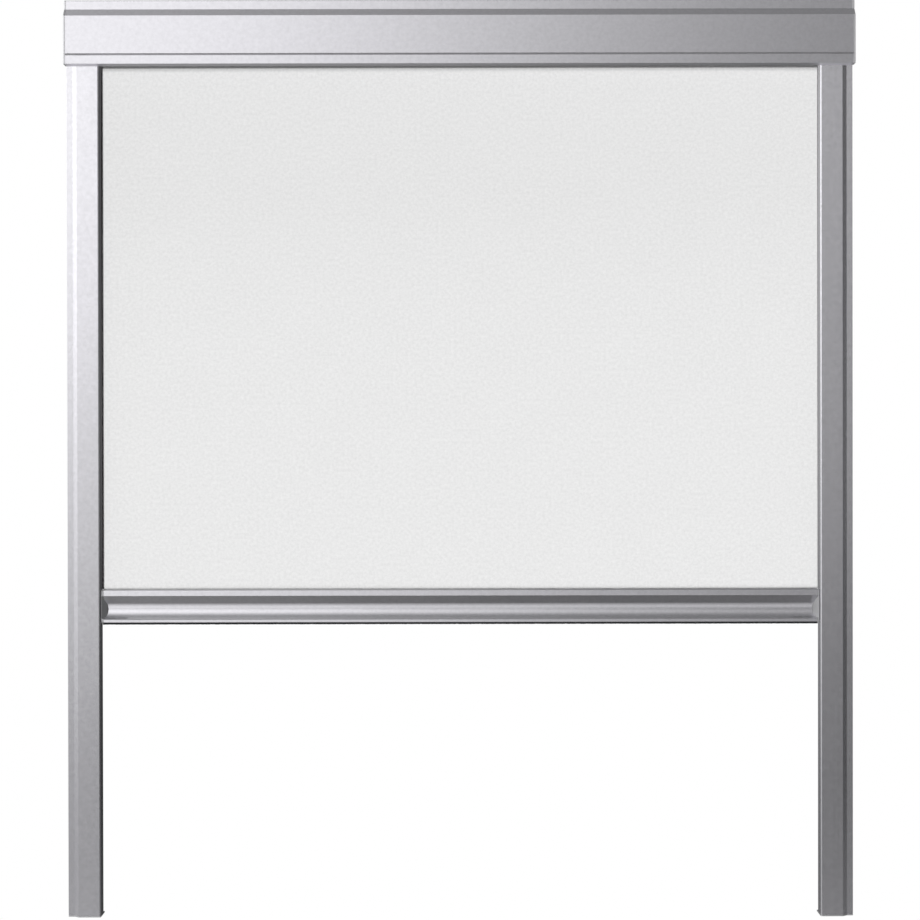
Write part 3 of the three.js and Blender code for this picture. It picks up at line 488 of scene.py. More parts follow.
LINES_ACROSS = 3200
LINES_ALONG = 3
METAL_MOTTLE = 330
METAL_CLOUD = 9
PLASTIC_GRAIN = 2600
PLASTIC_CLOUD = 60
LACQUER_FLAKES = 4200
STEEL_MARKS = 900
STEEL_CLOUD = 120
THREADS = 320
SLUBS = 420
CLOTH_CLOUD = 26
HAIRS = 5200
TUFTS = 700

QUARTER_TURN_SHARE = 0.25
METAL_COLOUR = (0.775, 0.767, 0.805)
CLOTH_DARK = (0.66, 0.66, 0.66)
CLOTH_LIGHT = (0.94, 0.94, 0.94)
PILE_DARK = (0.008, 0.008, 0.009)
# The pile's lighter colour is a painted glint on single hairs.
PILE_GLINT = (0.035, 0.035, 0.038)


def anodised_metal(name, stretch, roughness, anisotropy):
    """Satin anodised aluminium with fine drawn lines. Stretch is the lines' scale on each axis."""
    material, tree, shader = new_finish(name)
    lines = add_noise(tree, 1, detail=4, roughness=0.7, stretch=stretch)
    mottle = add_noise(tree, METAL_MOTTLE, roughness=0.65)
    cloud = add_noise(tree, METAL_CLOUD, detail=2)
    tone = combine(tree, "ADD", vary(tree, lines, 0, less=0.1, more=0.1), mottle)
    line_spread = vary(tree, lines, roughness, less=0.03, more=0.03)
    cloud_spread = vary(tree, cloud, 0, less=0.012, more=0.012)
    set_inputs(tree, shader, {
        "Base Color": tint(tree, tone, METAL_COLOUR, darkest=0.88, lightest=1.12),
        "Metallic": 1,
        "Roughness": combine(tree, "ADD", line_spread, cloud_spread),
        "Anisotropic": anisotropy,
        "Normal": bump(tree, lines, distance=0.004 * MM, strength=0.3),
    })
    if anisotropy:
        # Light spreads across the drawn lines, a quarter turn from them.
        tangent = add_node(tree, "ShaderNodeTangent", {}, direction_type="UV_MAP", uv_map="grain")
        set_inputs(tree, shader, {
            "Anisotropic Rotation": QUARTER_TURN_SHARE,
            "Tangent": tangent.outputs["Tangent"],
        })
    return material


def moulded_plastic(name, colour, roughness):
    """Moulded plastic with a fine spark-eroded grain."""
    material, tree, shader = new_finish(name)
    grain = add_noise(tree, PLASTIC_GRAIN, detail=2)
    cloud = add_noise(tree, PLASTIC_CLOUD)
    set_inputs(tree, shader, {
        "Base Color": tint(tree, cloud, colour, darkest=0.93),
        "IOR": 1.46,
        "Roughness": vary(tree, grain, roughness, less=0.05, more=0.06),
        "Normal": bump(tree, grain, distance=0.02 * MM, strength=0.6),
    })
    return material


def silver_lacquer(name, colour, roughness):
    """Silver lacquer on a moulding, with fine flakes in it."""
    material, tree, shader = new_finish(name)
    flakes = add_noise(tree, LACQUER_FLAKES, detail=1)
    cloud = add_noise(tree, PLASTIC_CLOUD)
    set_inputs(tree, shader, {
        "Base Color": tint(tree, cloud, colour, darkest=0.9),
        "Metallic": 0.98,
        "Roughness": vary(tree, flakes, roughness, less=0.06, more=0.08),
        "Normal": bump(tree, flakes, distance=0.01 * MM, strength=0.5),
    })
    return material


def bare_steel(name, colour, roughness):
    """Plated steel or plain bronze, with faint turning marks and a cloudy surface."""
    material, tree, shader = new_finish(name)
    marks = add_noise(tree, STEEL_MARKS)
    cloud = add_noise(tree, STEEL_CLOUD)
    set_inputs(tree, shader, {
        "Base Color": tint(tree, cloud, colour, darkest=0.86),
        "Metallic": 1,
        "Roughness": vary(tree, marks, roughness, less=0.08, more=0.1),
        "Normal": bump(tree, marks, distance=0.01 * MM, strength=0.5),
    })
    return material


def thread_bands(tree, direction):
    """Soft bands, one for each thread that runs along a direction."""
    inputs = {
        "Vector": coordinates(tree, (1, 1, 1), "UV"),
        "Scale": THREADS,
        "Distortion": 0.35,
        "Detail": 1,
    }
    settings = {"wave_type": "BANDS", "bands_direction": direction}
    return add_node(tree, "ShaderNodeTexWave", inputs, **settings).outputs["Fac"]


def woven_fabric(name):
    """Close plain weave with a matt coating: threads over and under, some of them thicker."""
    material, tree, shader = new_finish(name)
    weave = combine(tree, "MULTIPLY", thread_bands(tree, "X"), thread_bands(tree, "Y"))
    slubs = add_noise(tree, SLUBS, detail=4, roughness=0.7, kind="UV")
    cloud = add_noise(tree, CLOTH_CLOUD, kind="UV")
    slub_tone = vary(tree, slubs, 0, less=0.5, more=0.5)
    cloud_tone = vary(tree, cloud, 0.5, less=0.04, more=0.04)
    relief = combine(tree, "ADD", weave, slubs)
    set_inputs(tree, shader, {
        "Base Color": mix(tree, combine(tree, "ADD", slub_tone, cloud_tone), CLOTH_DARK, CLOTH_LIGHT),
        "Roughness": 0.88,
        "Sheen Weight": 0.06,
        "Sheen Roughness": 0.5,
        "Normal": bump(tree, relief, distance=0.04 * MM, strength=0.55),
    })
    return material


def black_brush(name):
    """Dense black pile, with light caught on single hairs painted into its colour as glints."""
    material, tree, shader = new_finish(name)
    hairs = add_noise(tree, HAIRS, detail=2, roughness=0.8, stretch=(1, 0.15, 1))
    tufts = add_noise(tree, TUFTS)
    relief = combine(tree, "ADD", hairs, tufts)
    set_inputs(tree, shader, {
        # Single hairs are painted lighter: painted glints.
        "Base Color": mix(tree, hairs, PILE_DARK, PILE_GLINT),
        "Roughness": 0.95,
        "Sheen Weight": 0.12,
        "Normal": bump(tree, relief, distance=0.15 * MM, strength=0.8),
    })
    return material


DRAWN_ALONG_X = (LINES_ALONG, LINES_ACROSS, LINES_ACROSS)
DRAWN_ALONG_Z = (LINES_ACROSS, LINES_ACROSS, LINES_ALONG)

METAL_X = anodised_metal("anodised drawn along the width", DRAWN_ALONG_X, 0.331, 0.778)
METAL_Z = anodised_metal("anodised drawn along the height", DRAWN_ALONG_Z, 0.245, 0.833)
MILL = anodised_metal("mill finish", DRAWN_ALONG_X, 0.45, 0)
GREY = moulded_plastic("grey moulding", (0.30, 0.30, 0.315), 0.42)
LACQUER = silver_lacquer("silver lacquer", (0.54, 0.54, 0.555), 0.45)
CASING_END = silver_lacquer("casing end lacquer", (0.74, 0.74, 0.76), 0.36)
NYLON = moulded_plastic("natural nylon", (0.72, 0.71, 0.66), 0.5)
STEEL = bare_steel("zinc plated steel", (0.62, 0.63, 0.64), 0.32)
SPRING_STEEL = bare_steel("spring steel", (0.50, 0.50, 0.52), 0.28)
BRONZE = bare_steel("sintered bronze", (0.55, 0.38, 0.20), 0.42)
FABRIC = woven_fabric("blackout cloth")
PILE = black_brush("black pile")


# Casing


def casing_front_corners():
    """The set-back top band and the slope under it."""
    slope_top = HEAD_DEPTH - TOP_SETBACK
    return [
        (slope_top, 0, TOP_RADIUS),
        (slope_top, TOP_BAND),
        (HEAD_DEPTH, TOP_BAND + SLOPE_HEIGHT, COVER_EDGE),
    ]


def casing_inside(inset, top, bottom):
    """The inside of the band, the slope and the front, moved further in by an inset."""
    depth = COVER_WALL + inset
    shift = depth * math.tan(math.atan2(TOP_SETBACK, SLOPE_HEIGHT) / 2)
    slope_top = HEAD_DEPTH - TOP_SETBACK - depth
    return [
        (slope_top, top),
        (slope_top, TOP_BAND + shift),
        (HEAD_DEPTH - depth, TOP_BAND + SLOPE_HEIGHT + shift),
        (HEAD_DEPTH - depth, bottom),
    ]


def casing_outline():
    """The cover's section: outside down to the lip, then inside up to the hook."""
    groove = HEAD_HEIGHT - GROOVE_RISE
    inner = HEAD_DEPTH - COVER_WALL
    return_end = RAIL_DEPTH + RETURN_GAP
    rib_top = groove - RIB_HEIGHT / 2
    rib_bottom = groove + RIB_HEIGHT / 2
    return [
        (COVER_BACK_GAP, 0),
        *casing_front_corners(),
        (HEAD_DEPTH, groove - GROOVE_DEPTH),
        (HEAD_DEPTH - GROOVE_DEPTH, groove),
        (HEAD_DEPTH, groove + GROOVE_DEPTH),
        (HEAD_DEPTH, HEAD_HEIGHT, COVER_EDGE),
        (return_end, HEAD_HEIGHT),
        (return_end, HEAD_HEIGHT - COVER_WALL),
        (inner, HEAD_HEIGHT - COVER_WALL),
        (inner, rib_bottom),
        (inner - RIB, rib_bottom - RIB),
        (inner - RIB, rib_top + RIB),
        *reversed(casing_inside(0, COVER_WALL, rib_top)),
        (HOOK_FRONT + COVER_WALL, COVER_WALL),
        (HOOK_FRONT + COVER_WALL, HOOK_TOP + HOOK_THICKNESS),
        (HOOK_FRONT - HOOK_REACH, HOOK_TOP + HOOK_THICKNESS),
        (HOOK_FRONT - HOOK_REACH, HOOK_TOP),
        (HOOK_FRONT, HOOK_TOP),
        (HOOK_FRONT, COVER_WALL),
        (COVER_BACK_GAP, COVER_WALL),
    ]


def make_casing():
    """The cover, in one drawn length."""
    bm = sweep_x(casing_outline(), cover_low.x, cover_high.x)
    make_piece("casing", bm, METAL_X, "aluminium", "head", "casing_cover")


def end_plate(outer, inner):
    """The plate that closes the casing, as far down at the back as the carrier."""
    plate = sweep_x(
        [
            (0, 0, COVER_EDGE),
            *casing_front_corners(),
            (HEAD_DEPTH, HEAD_HEIGHT, COVER_EDGE),
            (RAIL_DEPTH + RETURN_GAP, HEAD_HEIGHT),
            (RAIL_DEPTH + RETURN_GAP, CARRIER_BOTTOM),
            (0, CARRIER_BOTTOM),
        ],
        outer,
        inner,
    )
    return break_end_edges(plate, *ALONG_X)


def end_rim(start, end):
    """The rim that lies inside the cover."""
    back = HOOK_FRONT + COVER_WALL + RIM_BACK_CLEAR
    bottom = CARRIER_BOTTOM - BASE_PLATE - FIT_GAP
    depth = COVER_WALL + FIT_GAP
    return sweep_x(
        [
            (back, depth),
            *casing_inside(FIT_GAP, depth, bottom),
            *reversed(casing_inside(FIT_GAP + RIM, depth + RIM, bottom)),
            (back, depth + RIM),
        ],
        start,
        end,
    )


def end_peg(drop, start, end):
    """One peg of a casing end, with a softened tip."""
    bm = rod(PEG_RADIUS, place(start, PEG_FRONT, drop), place(end, PEG_FRONT, drop))
    return break_end_edges(bm, *ALONG_X, width=2 * EDGE_BREAK)


def make_casing_ends():
    """The plates that close the casing, with their rims and pegs."""
    for side, name in SIDES:
        node = f"casing_end_{name}"
        low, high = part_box(node)
        peg_end = high.x if side < 0 else low.x
        inner = side * (HALF_WIDTH - END_PLATE)
        bm = merged(
            end_plate(side * HALF_WIDTH, inner),
            end_rim(inner, inner - side * RIM_LENGTH),
            *(end_peg(drop, inner, peg_end) for drop in PEG_DROPS),
        )
        make_piece(f"casing_cap_{name}", bm, CASING_END, "grey_plastic", "head", node)


# Rails


def rail_front_corners():
    """The outer flange, the slope and the raised face."""
    return [
        (0, 0),
        (0, FLANGE_DEPTH, RAIL_EDGE),
        (FLANGE_WIDTH, FLANGE_DEPTH),
        (FLANGE_WIDTH + SLOPE_WIDTH, RAIL_DEPTH, RAIL_EDGE),
        (RAIL_WIDTH, RAIL_DEPTH, RAIL_INNER_RADIUS),
    ]


def rail_lip(edge, face, away):
    """One side of the slot mouth, from its edge to the channel, with its pile groove."""
    near = edge - PILE_GROOVE_LAND
    far = near - PILE_GROOVE_WIDTH
    floor = face + away * PILE_GROOVE_DEPTH
    return [
        (edge, face),
        (near, face),
        (near, floor),
        (far, floor),
        (far, face),
        (edge - LIP_WIDTH, face),
    ]


def rail_outline():
    """The rail's section: a channel open towards the fabric, and solid in front of it."""
    return [
        *rail_front_corners(),
        *rail_lip(RAIL_WIDTH, SLOT_FRONT, 1),
        (RAIL_WIDTH - LIP_WIDTH, CHANNEL_FRONT),
        (RAIL_WALL, CHANNEL_FRONT),
        (RAIL_WALL, RAIL_WALL),
        (CHANNEL_EDGE, RAIL_WALL),
        *reversed(rail_lip(BACK_LIP_EDGE, SLOT_BACK, -1)),
        (BACK_LIP_EDGE, 0),
    ]


def make_rails():
    """The two side rails."""
    for side, name in SIDES:
        bm = sweep_z(rail_outline(), side, rail_low.z, rail_high.z)
        make_piece(
            f"side_rail_{name}", bm, METAL_Z, "aluminium", "head", f"rail_{name}",
            grain=UP, mirrored=True,
        )


def make_rail_feet():
    """The plugs at the rails' lower ends, with the stops for the glides."""
    notch = [(RAIL_WIDTH, SLOT_BACK), (BACK_LIP_EDGE, SLOT_BACK), (BACK_LIP_EDGE, 0)]
    inset = RAIL_WALL + FIT_GAP
    stop_corners = [
        (inset, inset),
        (inset, CHANNEL_FRONT - FIT_GAP),
        (CHANNEL_EDGE - FIT_GAP, CHANNEL_FRONT - FIT_GAP),
        (CHANNEL_EDGE - FIT_GAP, inset),
    ]
    for side, name in SIDES:
        node = f"rail_foot_{name}"
        low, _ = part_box(node)
        plate_top = low.z + FOOT_PLATE
        plate = sweep_z([*rail_front_corners(), *notch], side, low.z, plate_top)
        break_end_edges(plate, *ALONG_Z)
        stop = sweep_z(stop_corners, side, plate_top, plate_top + FOOT_STOP)
        bm = merged(plate, stop)
        make_piece(f"rail_plug_{name}", bm, LACQUER, "grey_plastic", "head", node, grain=UP)


def make_pile_strips():
    """The pile strips in the slot mouths: a backing strip and a brush that leans outwards."""
    sides_of_mouth = (
        ("front", RAIL_WIDTH, SLOT_FRONT, 1),
        ("back", BACK_LIP_EDGE, SLOT_BACK, -1),
    )
    for side, name in SIDES:
        for where, edge, face, away in sides_of_mouth:
            node = f"{where}_pile_{name}"
            low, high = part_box(node)
            near = edge - PILE_GROOVE_LAND - SEAT_GAP
            far = near - PILE_GROOVE_WIDTH + 2 * SEAT_GAP
            floor = face + away * (PILE_GROOVE_DEPTH - SEAT_GAP)
            tip = FABRIC_FRONT + away * PILE_OPENING / 2
            corners = [
                (far, floor),
                (near, floor),
                (near, face - away * FIT_GAP),
                (edge - PILE_SETBACK, tip + away * PILE_TIP),
                (edge - PILE_SETBACK, tip),
                (near - PILE_TIP, tip),
                (far, face - away * FIT_GAP),
            ]
            bm = sweep_z(corners, side, low.z, high.z)
            slice_along(bm, UP, low.z, high.z, PILE_STEP)
            reach = side * (HALF_WIDTH - edge + PILE_SETBACK)
            fray([vert for vert in bm.verts if abs(vert.co.x - reach) < SEAT_GAP], RIGHT)
            make_piece(
                f"{where}_brush_{name}", bm, PILE, "black_pile", "head", node, grain=UP
            )


# Fabric


def make_fabric():
    """The sheet from the roller down into the bar, with the sleeve round the hem rod."""
    top = sheet_high.z
    bar_top = bar_high.z
    rod_height = (hem_low.z + hem_high.z) / 2
    sleeve_radius = HEM_ROD_RADIUS + SEAT_GAP + FABRIC_THICKNESS / 2
    panel_end = rod_height + sleeve_radius
    panel = cloth_panel(sheet_low.x, sheet_high.x, bar_top + SEAT_GAP, top, SHEET_ROWS)
    tuck = cloth_panel(hem_low.x, hem_high.x, panel_end, bar_top + SEAT_GAP, TUCK_ROWS)
    sleeve = hem_sleeve(hem_low.x, hem_high.x, rod_height, sleeve_radius)
    bm = merged(panel, tuck, sleeve)
    piece = make_piece("fabric", bm, FABRIC, "fabric", None, "fabric_sheet")
    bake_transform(piece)


def cloth_panel(left, right, low, high, rows):
    """A flat panel of cloth with its thickness, in rows."""
    bm = bmesh.new()
    bmesh.ops.create_grid(bm, x_segments=SHEET_COLUMNS, y_segments=rows, size=0.5)
    bmesh.ops.scale(bm, vec=Vector((right - left, high - low, 1)), verts=bm.verts)
    bmesh.ops.rotate(bm, matrix=Matrix.Rotation(math.pi / 2, 3, "X"), verts=bm.verts)
    middle = Vector(((left + right) / 2, -FABRIC_FRONT, (low + high) / 2))
    bmesh.ops.translate(bm, vec=middle, verts=bm.verts)
    bmesh.ops.recalc_face_normals(bm, faces=bm.faces)
    return thicken(bm)


def hem_sleeve(left, right, height, radius):
    """The sleeve that the hem rod lies in."""
    bm = bmesh.new()
    first = bm.verts.new((left, -FABRIC_FRONT, height + radius))
    last = bm.verts.new((right, -FABRIC_FRONT, height + radius))
    bm.edges.new((first, last))
    bmesh.ops.spin(
        bm,
        geom=bm.verts[:] + bm.edges[:],
        cent=(0, -FABRIC_FRONT, height),
        axis=RIGHT,
        angle=2 * math.pi,
        steps=SMALL_SIDES,
        use_merge=True,
    )
    bmesh.ops.remove_doubles(bm, verts=bm.verts, dist=WELD)
    bmesh.ops.recalc_face_normals(bm, faces=bm.faces)
    return thicken(bm)


def thicken(bm):
    """Gives a surface the cloth's thickness, half to each side."""
    for vert in bm.verts:
        vert.normal_update()
    shifts = [(vert, vert.normal.copy()) for vert in bm.verts]
    for vert, normal in shifts:
        vert.co -= normal * FABRIC_THICKNESS / 2
    bmesh.ops.solidify(bm, geom=bm.faces[:], thickness=-FABRIC_THICKNESS)
    return bm


def make_roll():
    """The cloth wound on the tube, its outer turn running off at the back."""
    bore = tube_high.z - ROLL_CENTRE.z + SEAT_GAP
    bm = bmesh.new()
    bmesh.ops.create_circle(bm, cap_ends=False, radius=1, segments=ROUND_SIDES)
    ring = bmesh.ops.extrude_edge_only(bm, edges=bm.edges[:])["geom"]
    outer = {part for part in ring if isinstance(part, bmesh.types.BMVert)}
    for vert in bm.verts:
        if vert in outer:
            turn = (math.atan2(vert.co.y, vert.co.x) / (2 * math.pi)) % 1
            vert.co *= ROLL_RADIUS - FABRIC_THICKNESS * turn
        else:
            vert.co *= bore
    # The circle's first direction turns to the back, where the sheet runs off.
    bmesh.ops.rotate(bm, matrix=Matrix.Rotation(math.pi / 2, 3, "Z"), verts=bm.verts)
    bmesh.ops.rotate(bm, matrix=Matrix.Rotation(math.pi / 2, 3, "Y"), verts=bm.verts)
    start = Vector((roll_low.x, ROLL_CENTRE.y, ROLL_CENTRE.z))
    bmesh.ops.translate(bm, vec=start, verts=bm.verts)
    grown = bmesh.ops.extrude_face_region(bm, geom=bm.faces[:])["geom"]
    moved = [part for part in grown if isinstance(part, bmesh.types.BMVert)]
    bmesh.ops.translate(bm, vec=(roll_high.x - roll_low.x) * RIGHT, verts=moved)
    make_piece("wound_fabric", bm, FABRIC, "fabric", "roller", "fabric_roll")


# Bottom bar


def grip_corners(inset):
    """The undercut and the cove. The slope runs on to the cove's back, and both corners there
    are rounded to the cove's radius. An inset moves the line out of the metal."""
    radius = COVE_RADIUS - inset
    back = COVE_BACK + inset
    tangent = math.atan2(UNDERCUT_HEIGHT, UNDERCUT_DEPTH)
    upper = COVE_DROP - radius * math.tan((math.pi / 2 - tangent) / 2)
    return [
        in_bar(back, upper, radius, LARGE_ARC_STEPS),
        in_bar(back, COVE_END - inset, radius, LARGE_ARC_STEPS),
    ]


def bar_outline():
    """The bar's section: the grip in front, then the seal's groove and the hem channel."""
    neck_back = FABRIC_FRONT - NECK_WIDTH / 2
    neck_front = FABRIC_FRONT + NECK_WIDTH / 2
    channel_back = FABRIC_FRONT - HEM_CHANNEL_WIDTH / 2
    channel_front = FABRIC_FRONT + HEM_CHANNEL_WIDTH / 2
    floor = NECK_HEIGHT + HEM_CHANNEL_HEIGHT
    return [
        in_bar(BAR_FRONT, 0, SLAT_EDGE),
        in_bar(BAR_FRONT, SLAT_HEIGHT, SLAT_EDGE),
        *grip_corners(0),
        in_bar(COVE_FRONT, COVE_END),
        in_bar(BAR_FRONT, COVE_END + LIP_RISE),
        in_bar(BAR_FRONT, BAR_HEIGHT, SLAT_EDGE),
        in_bar(SEAL_MIDDLE + SEAL_NECK / 2, BAR_HEIGHT),
        in_bar(SEAL_MIDDLE + SEAL_NECK / 2, SEAL_TOP),
        in_bar(SEAL_MIDDLE + SEAL_GROOVE / 2, SEAL_TOP),
        in_bar(SEAL_MIDDLE + SEAL_GROOVE / 2, SEAL_GROOVE_TOP),
        in_bar(SEAL_MIDDLE - SEAL_GROOVE / 2, SEAL_GROOVE_TOP),
        in_bar(SEAL_MIDDLE - SEAL_GROOVE / 2, SEAL_TOP),
        in_bar(SEAL_MIDDLE - SEAL_NECK / 2, SEAL_TOP),
        in_bar(SEAL_MIDDLE - SEAL_NECK / 2, BAR_HEIGHT),
        in_bar(BAR_BACK, BAR_HEIGHT, SLAT_EDGE),
        in_bar(BAR_BACK, 0, SLAT_EDGE),
        in_bar(neck_back, 0),
        in_bar(neck_back, NECK_HEIGHT),
        in_bar(channel_back, NECK_HEIGHT),
        in_bar(channel_back, floor),
        in_bar(channel_front, floor),
        in_bar(channel_front, NECK_HEIGHT),
        in_bar(neck_front, NECK_HEIGHT),
        in_bar(neck_front, 0),
    ]


def make_bar():
    """The bottom bar: slat, undercut and cove in front, hem channel behind."""
    bm = sweep_x(bar_outline(), bar_low.x, bar_high.x)
    make_piece("bottom_bar_profile", bm, METAL_X, "aluminium", "bottom_bar", "bar_profile")


def grip_wall(side, start, grip):
    """The wall that closes the finger grip, slanted inwards from the slat to the cove's back."""
    bm = sweep_x(grip, start, start - side * CAP_SLANT)
    inward = Vector((side * (BAR_FRONT - COVE_BACK), CAP_SLANT, 0))
    bmesh.ops.bisect_plane(
        bm,
        geom=bm.verts[:] + bm.edges[:] + bm.faces[:],
        plane_co=Vector((start, -BAR_FRONT, 0)),
        plane_no=-inward,
        clear_outer=True,
    )
    open_edges = [edge for edge in bm.edges if edge.is_boundary]
    bmesh.ops.holes_fill(bm, edges=open_edges, sides=0)
    return bm


def cap_plug(side, start):
    """The plug that holds an end cap in the profile."""
    end = start - side * PLUG_LENGTH
    plug_body = block(
        place(start, BAR_BACK + PLUG_BACK, BAR_DROP + PLUG_TOP),
        place(end, BAR_BACK + PLUG_FRONT, BAR_DROP + PLUG_BOTTOM),
    )
    return break_end_edges(plug_body, *ALONG_X)


def make_bar_ends():
    """The end caps: a plate with a thin rim, cut open behind the rim where the finger grip ends
    in a slanted wall."""
    front = BAR_FRONT - CAP_SETBACK
    upper = [in_bar(BAR_BACK, 0, CAP_RADIUS), in_bar(front, 0, CAP_RADIUS)]
    lower = [in_bar(front, BAR_HEIGHT, SLAT_EDGE), in_bar(BAR_BACK, BAR_HEIGHT, CAP_RADIUS)]
    grip = [
        in_bar(front, SLAT_HEIGHT + 2 * SEAT_GAP),
        *grip_corners(SEAT_GAP),
        in_bar(front, COVE_END - SEAT_GAP),
    ]
    for side, name in SIDES:
        node = f"bar_end_{name}"
        low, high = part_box(node)
        outer = low.x if side < 0 else high.x
        rim_end = outer - side * CAP_RIM
        inner = outer - side * CAP_PLATE
        bm = merged(
            break_end_edges(sweep_x([*upper, *lower], outer, rim_end), side * RIGHT),
            sweep_x([*upper, *grip, *lower], rim_end, inner),
            grip_wall(side, rim_end, grip),
            cap_plug(side, inner),
        )
        make_piece(
            f"bar_cap_{name}", bm, LACQUER, "grey_plastic", "bottom_bar", node, mirrored=True
        )


def make_bar_seal():
    """The pile seal under the bar, with its foot in the groove."""
    low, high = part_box("bar_seal")
    wide = SEAL_GROOVE / 2 - SEAT_GAP
    narrow = SEAL_NECK / 2 - SEAT_GAP
    foot_top = SEAL_GROOVE_TOP + SEAT_GAP
    foot_bottom = SEAL_TOP - SEAT_GAP
    neck_bottom = BAR_HEIGHT + SEAT_GAP
    foot = sweep_x(
        [
            in_bar(SEAL_MIDDLE - wide, foot_top),
            in_bar(SEAL_MIDDLE + wide, foot_top),
            in_bar(SEAL_MIDDLE + wide, foot_bottom),
            in_bar(SEAL_MIDDLE + narrow, foot_bottom),
            in_bar(SEAL_MIDDLE + narrow, neck_bottom),
            in_bar(SEAL_MIDDLE - narrow, neck_bottom),
            in_bar(SEAL_MIDDLE - narrow, foot_bottom),
            in_bar(SEAL_MIDDLE - wide, foot_bottom),
        ],
        bar_low.x,
        bar_high.x,
    )
    blade = sweep_x(
        [
            in_bar(SEAL_MIDDLE - SEAL_NECK / 2, neck_bottom),
            in_bar(SEAL_MIDDLE + SEAL_NECK / 2, neck_bottom),
            (SEAL_MIDDLE + SEAL_NECK / 2, HEAD_TOP - low.z),
            (SEAL_MIDDLE - SEAL_NECK / 2, HEAD_TOP - low.z),
        ],
        low.x,
        high.x,
    )
    slice_along(blade, RIGHT, low.x, high.x, PILE_STEP)
    fray([vert for vert in blade.verts if vert.co.z < low.z + SEAT_GAP], UP)
    make_piece("bottom_seal", merged(foot, blade), PILE, "black_pile", "bottom_bar", "bar_seal")


# Spring


def make_spring():
    """The torsion spring round the shaft, one unbroken wire."""
    low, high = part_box("torsion_spring")
    radius = (high.z - low.z) / 2 - WIRE_RADIUS
    lead = 2 * WIRE_RADIUS
    length = high.x - low.x - 2 * lead
    start = Vector((low.x + lead, ROLL_CENTRE.y, ROLL_CENTRE.z))
    bm = bmesh.new()
    bmesh.ops.create_circle(bm, cap_ends=True, radius=WIRE_RADIUS, segments=SPRING_SIDES)
    bmesh.ops.translate(bm, vec=Vector((0, radius, 0)), verts=bm.verts)
    bmesh.ops.translate(bm, vec=start, verts=bm.verts)
    bmesh.ops.spin(
        bm,
        geom=bm.verts[:] + bm.edges[:] + bm.faces[:],
        cent=start,
        axis=RIGHT,
        dvec=length / (SPRING_CURLS * SPRING_STEPS) * RIGHT,
        angle=2 * math.pi * SPRING_CURLS,
        steps=SPRING_CURLS * SPRING_STEPS,
        use_merge=False,
    )
    make_piece("motor_spring", bm, SPRING_STEEL, "steel", "head", "torsion_spring")


# Nodes that keep their own shape

KEPT_FINISHES = (
    (MILL, ("carrier_profile", "roller_tube")),
    (GREY, (
        "bracket_left", "bracket_right", "roller_plug_left", "roller_plug_right",
        "spring_collar",
    )),
    (STEEL, (
        "bracket_screw_upper_left", "bracket_screw_upper_right",
        "bracket_screw_lower_left", "bracket_screw_lower_right",
        "bar_end_screw_left", "bar_end_screw_right", "glide_screw_left",
        "glide_screw_right", "spring_shaft", "idle_pin", "hem_rod",
    )),
    (SPRING_STEEL, ("brake_spring_left", "brake_spring_right")),
    (NYLON, ("idle_bush", "glide_left", "glide_right")),
    (BRONZE, ("shaft_bush",)),
)


def finish_kept_nodes():
    """Gives the nodes that no piece stands for their finishes."""
    for finish, names in KEPT_FINISHES:
        for name in names:
            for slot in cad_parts[name].material_slots:
                slot.material = finish


# Studio

CAMERA_DISTANCE = 1700 * MM
CAMERA_DROP = 344.5 * MM
CAMERA_PITCH = math.radians(0.36)
CAMERA_ROLL = math.radians(0.1)
CAMERA_LENS = 86.35
CAMERA_SENSOR = 36
FLOOR_CLEARANCE = 300 * MM
FLOOR_RADIUS = 520 * MM
FLOOR_SIDES = 96
FLOOR_COLOUR = (0.88, 0.88, 0.88)
FLOOR_ROUGHNESS = 0.8

# The studio's walls show in what is glossy. Brightness from the far left to the far right
SIDE_STOPS = (
    (-1, 1.55), (-0.6, 1.45), (-0.4, 1.42), (-0.25, 1.5), (-0.1, 1.48), (0, 0.77), (0.1, 0.29),
    (0.25, 0.1), (0.4, 0.12), (0.55, 0.4), (0.75, 0.4), (0.92, 0.12), (1, 0.12),
)
# Share of it from straight below to straight above
HEIGHT_SHARES = (
    (-1, 0), (-0.6, 0.52), (-0.4, 0.45), (-0.2, 0.17), (0, 0.65), (0.1, 0.96), (0.2, 1),
    (0.4, 0.92), (0.65, 0.66), (1, 0.06),
)
# Brightness that the ground and the ceiling add, from below to above
SPREAD_STOPS = (
    (-1, 0), (-0.6, 0.72), (-0.35, 0.37), (-0.15, 0.02), (0, 0.06), (0.1, 0), (0.2, 0),
    (0.4, 0.2), (0.65, 0.34), (1, 0.155),
)
# Share of all this from the camera's side to behind the blind
DEPTH_SHARES = ((-1, 1), (0.3, 1), (0.75, 0.35), (1, 0.3))

# Straight behind the blind, what is glossy sees the white background, within a soft rim.
WHITE_START = 0.9965
WHITE_FULL = 0.9995
WHITE = (1, 1, 1)

# The lamps light only what is matt. Strength, then angle, side from the front towards the
# right and rise, in degrees
FILL_STRENGTH = 3.07
FILL_SIDE = -3.4
LAMPS = (
    ("level fill", 0.55 * FILL_STRENGTH, 3, FILL_SIDE, -3.5),
    ("low fill", 0.15 * FILL_STRENGTH, 8, FILL_SIDE, -10),
    ("high fill", 0.3 * FILL_STRENGTH, 5, FILL_SIDE, 2.5),
    ("top", 3.2, 30, 0, 90),
    ("back", 1.6, 30, 180, 20),
)


def make_camera():
    """The camera, far off and nearly level with the blind's middle."""
    data = bpy.data.cameras.new("camera")
    data.sensor_width = CAMERA_SENSOR
    data.lens = CAMERA_LENS
    camera = bpy.data.objects.new("camera", data)
    camera.location = (0, -HEAD_DEPTH - CAMERA_DISTANCE, HEAD_TOP - CAMERA_DROP)
    camera.rotation_euler = (math.pi / 2 - CAMERA_PITCH, CAMERA_ROLL, 0)
    bpy.context.scene.collection.objects.link(camera)
    bpy.context.scene.camera = camera


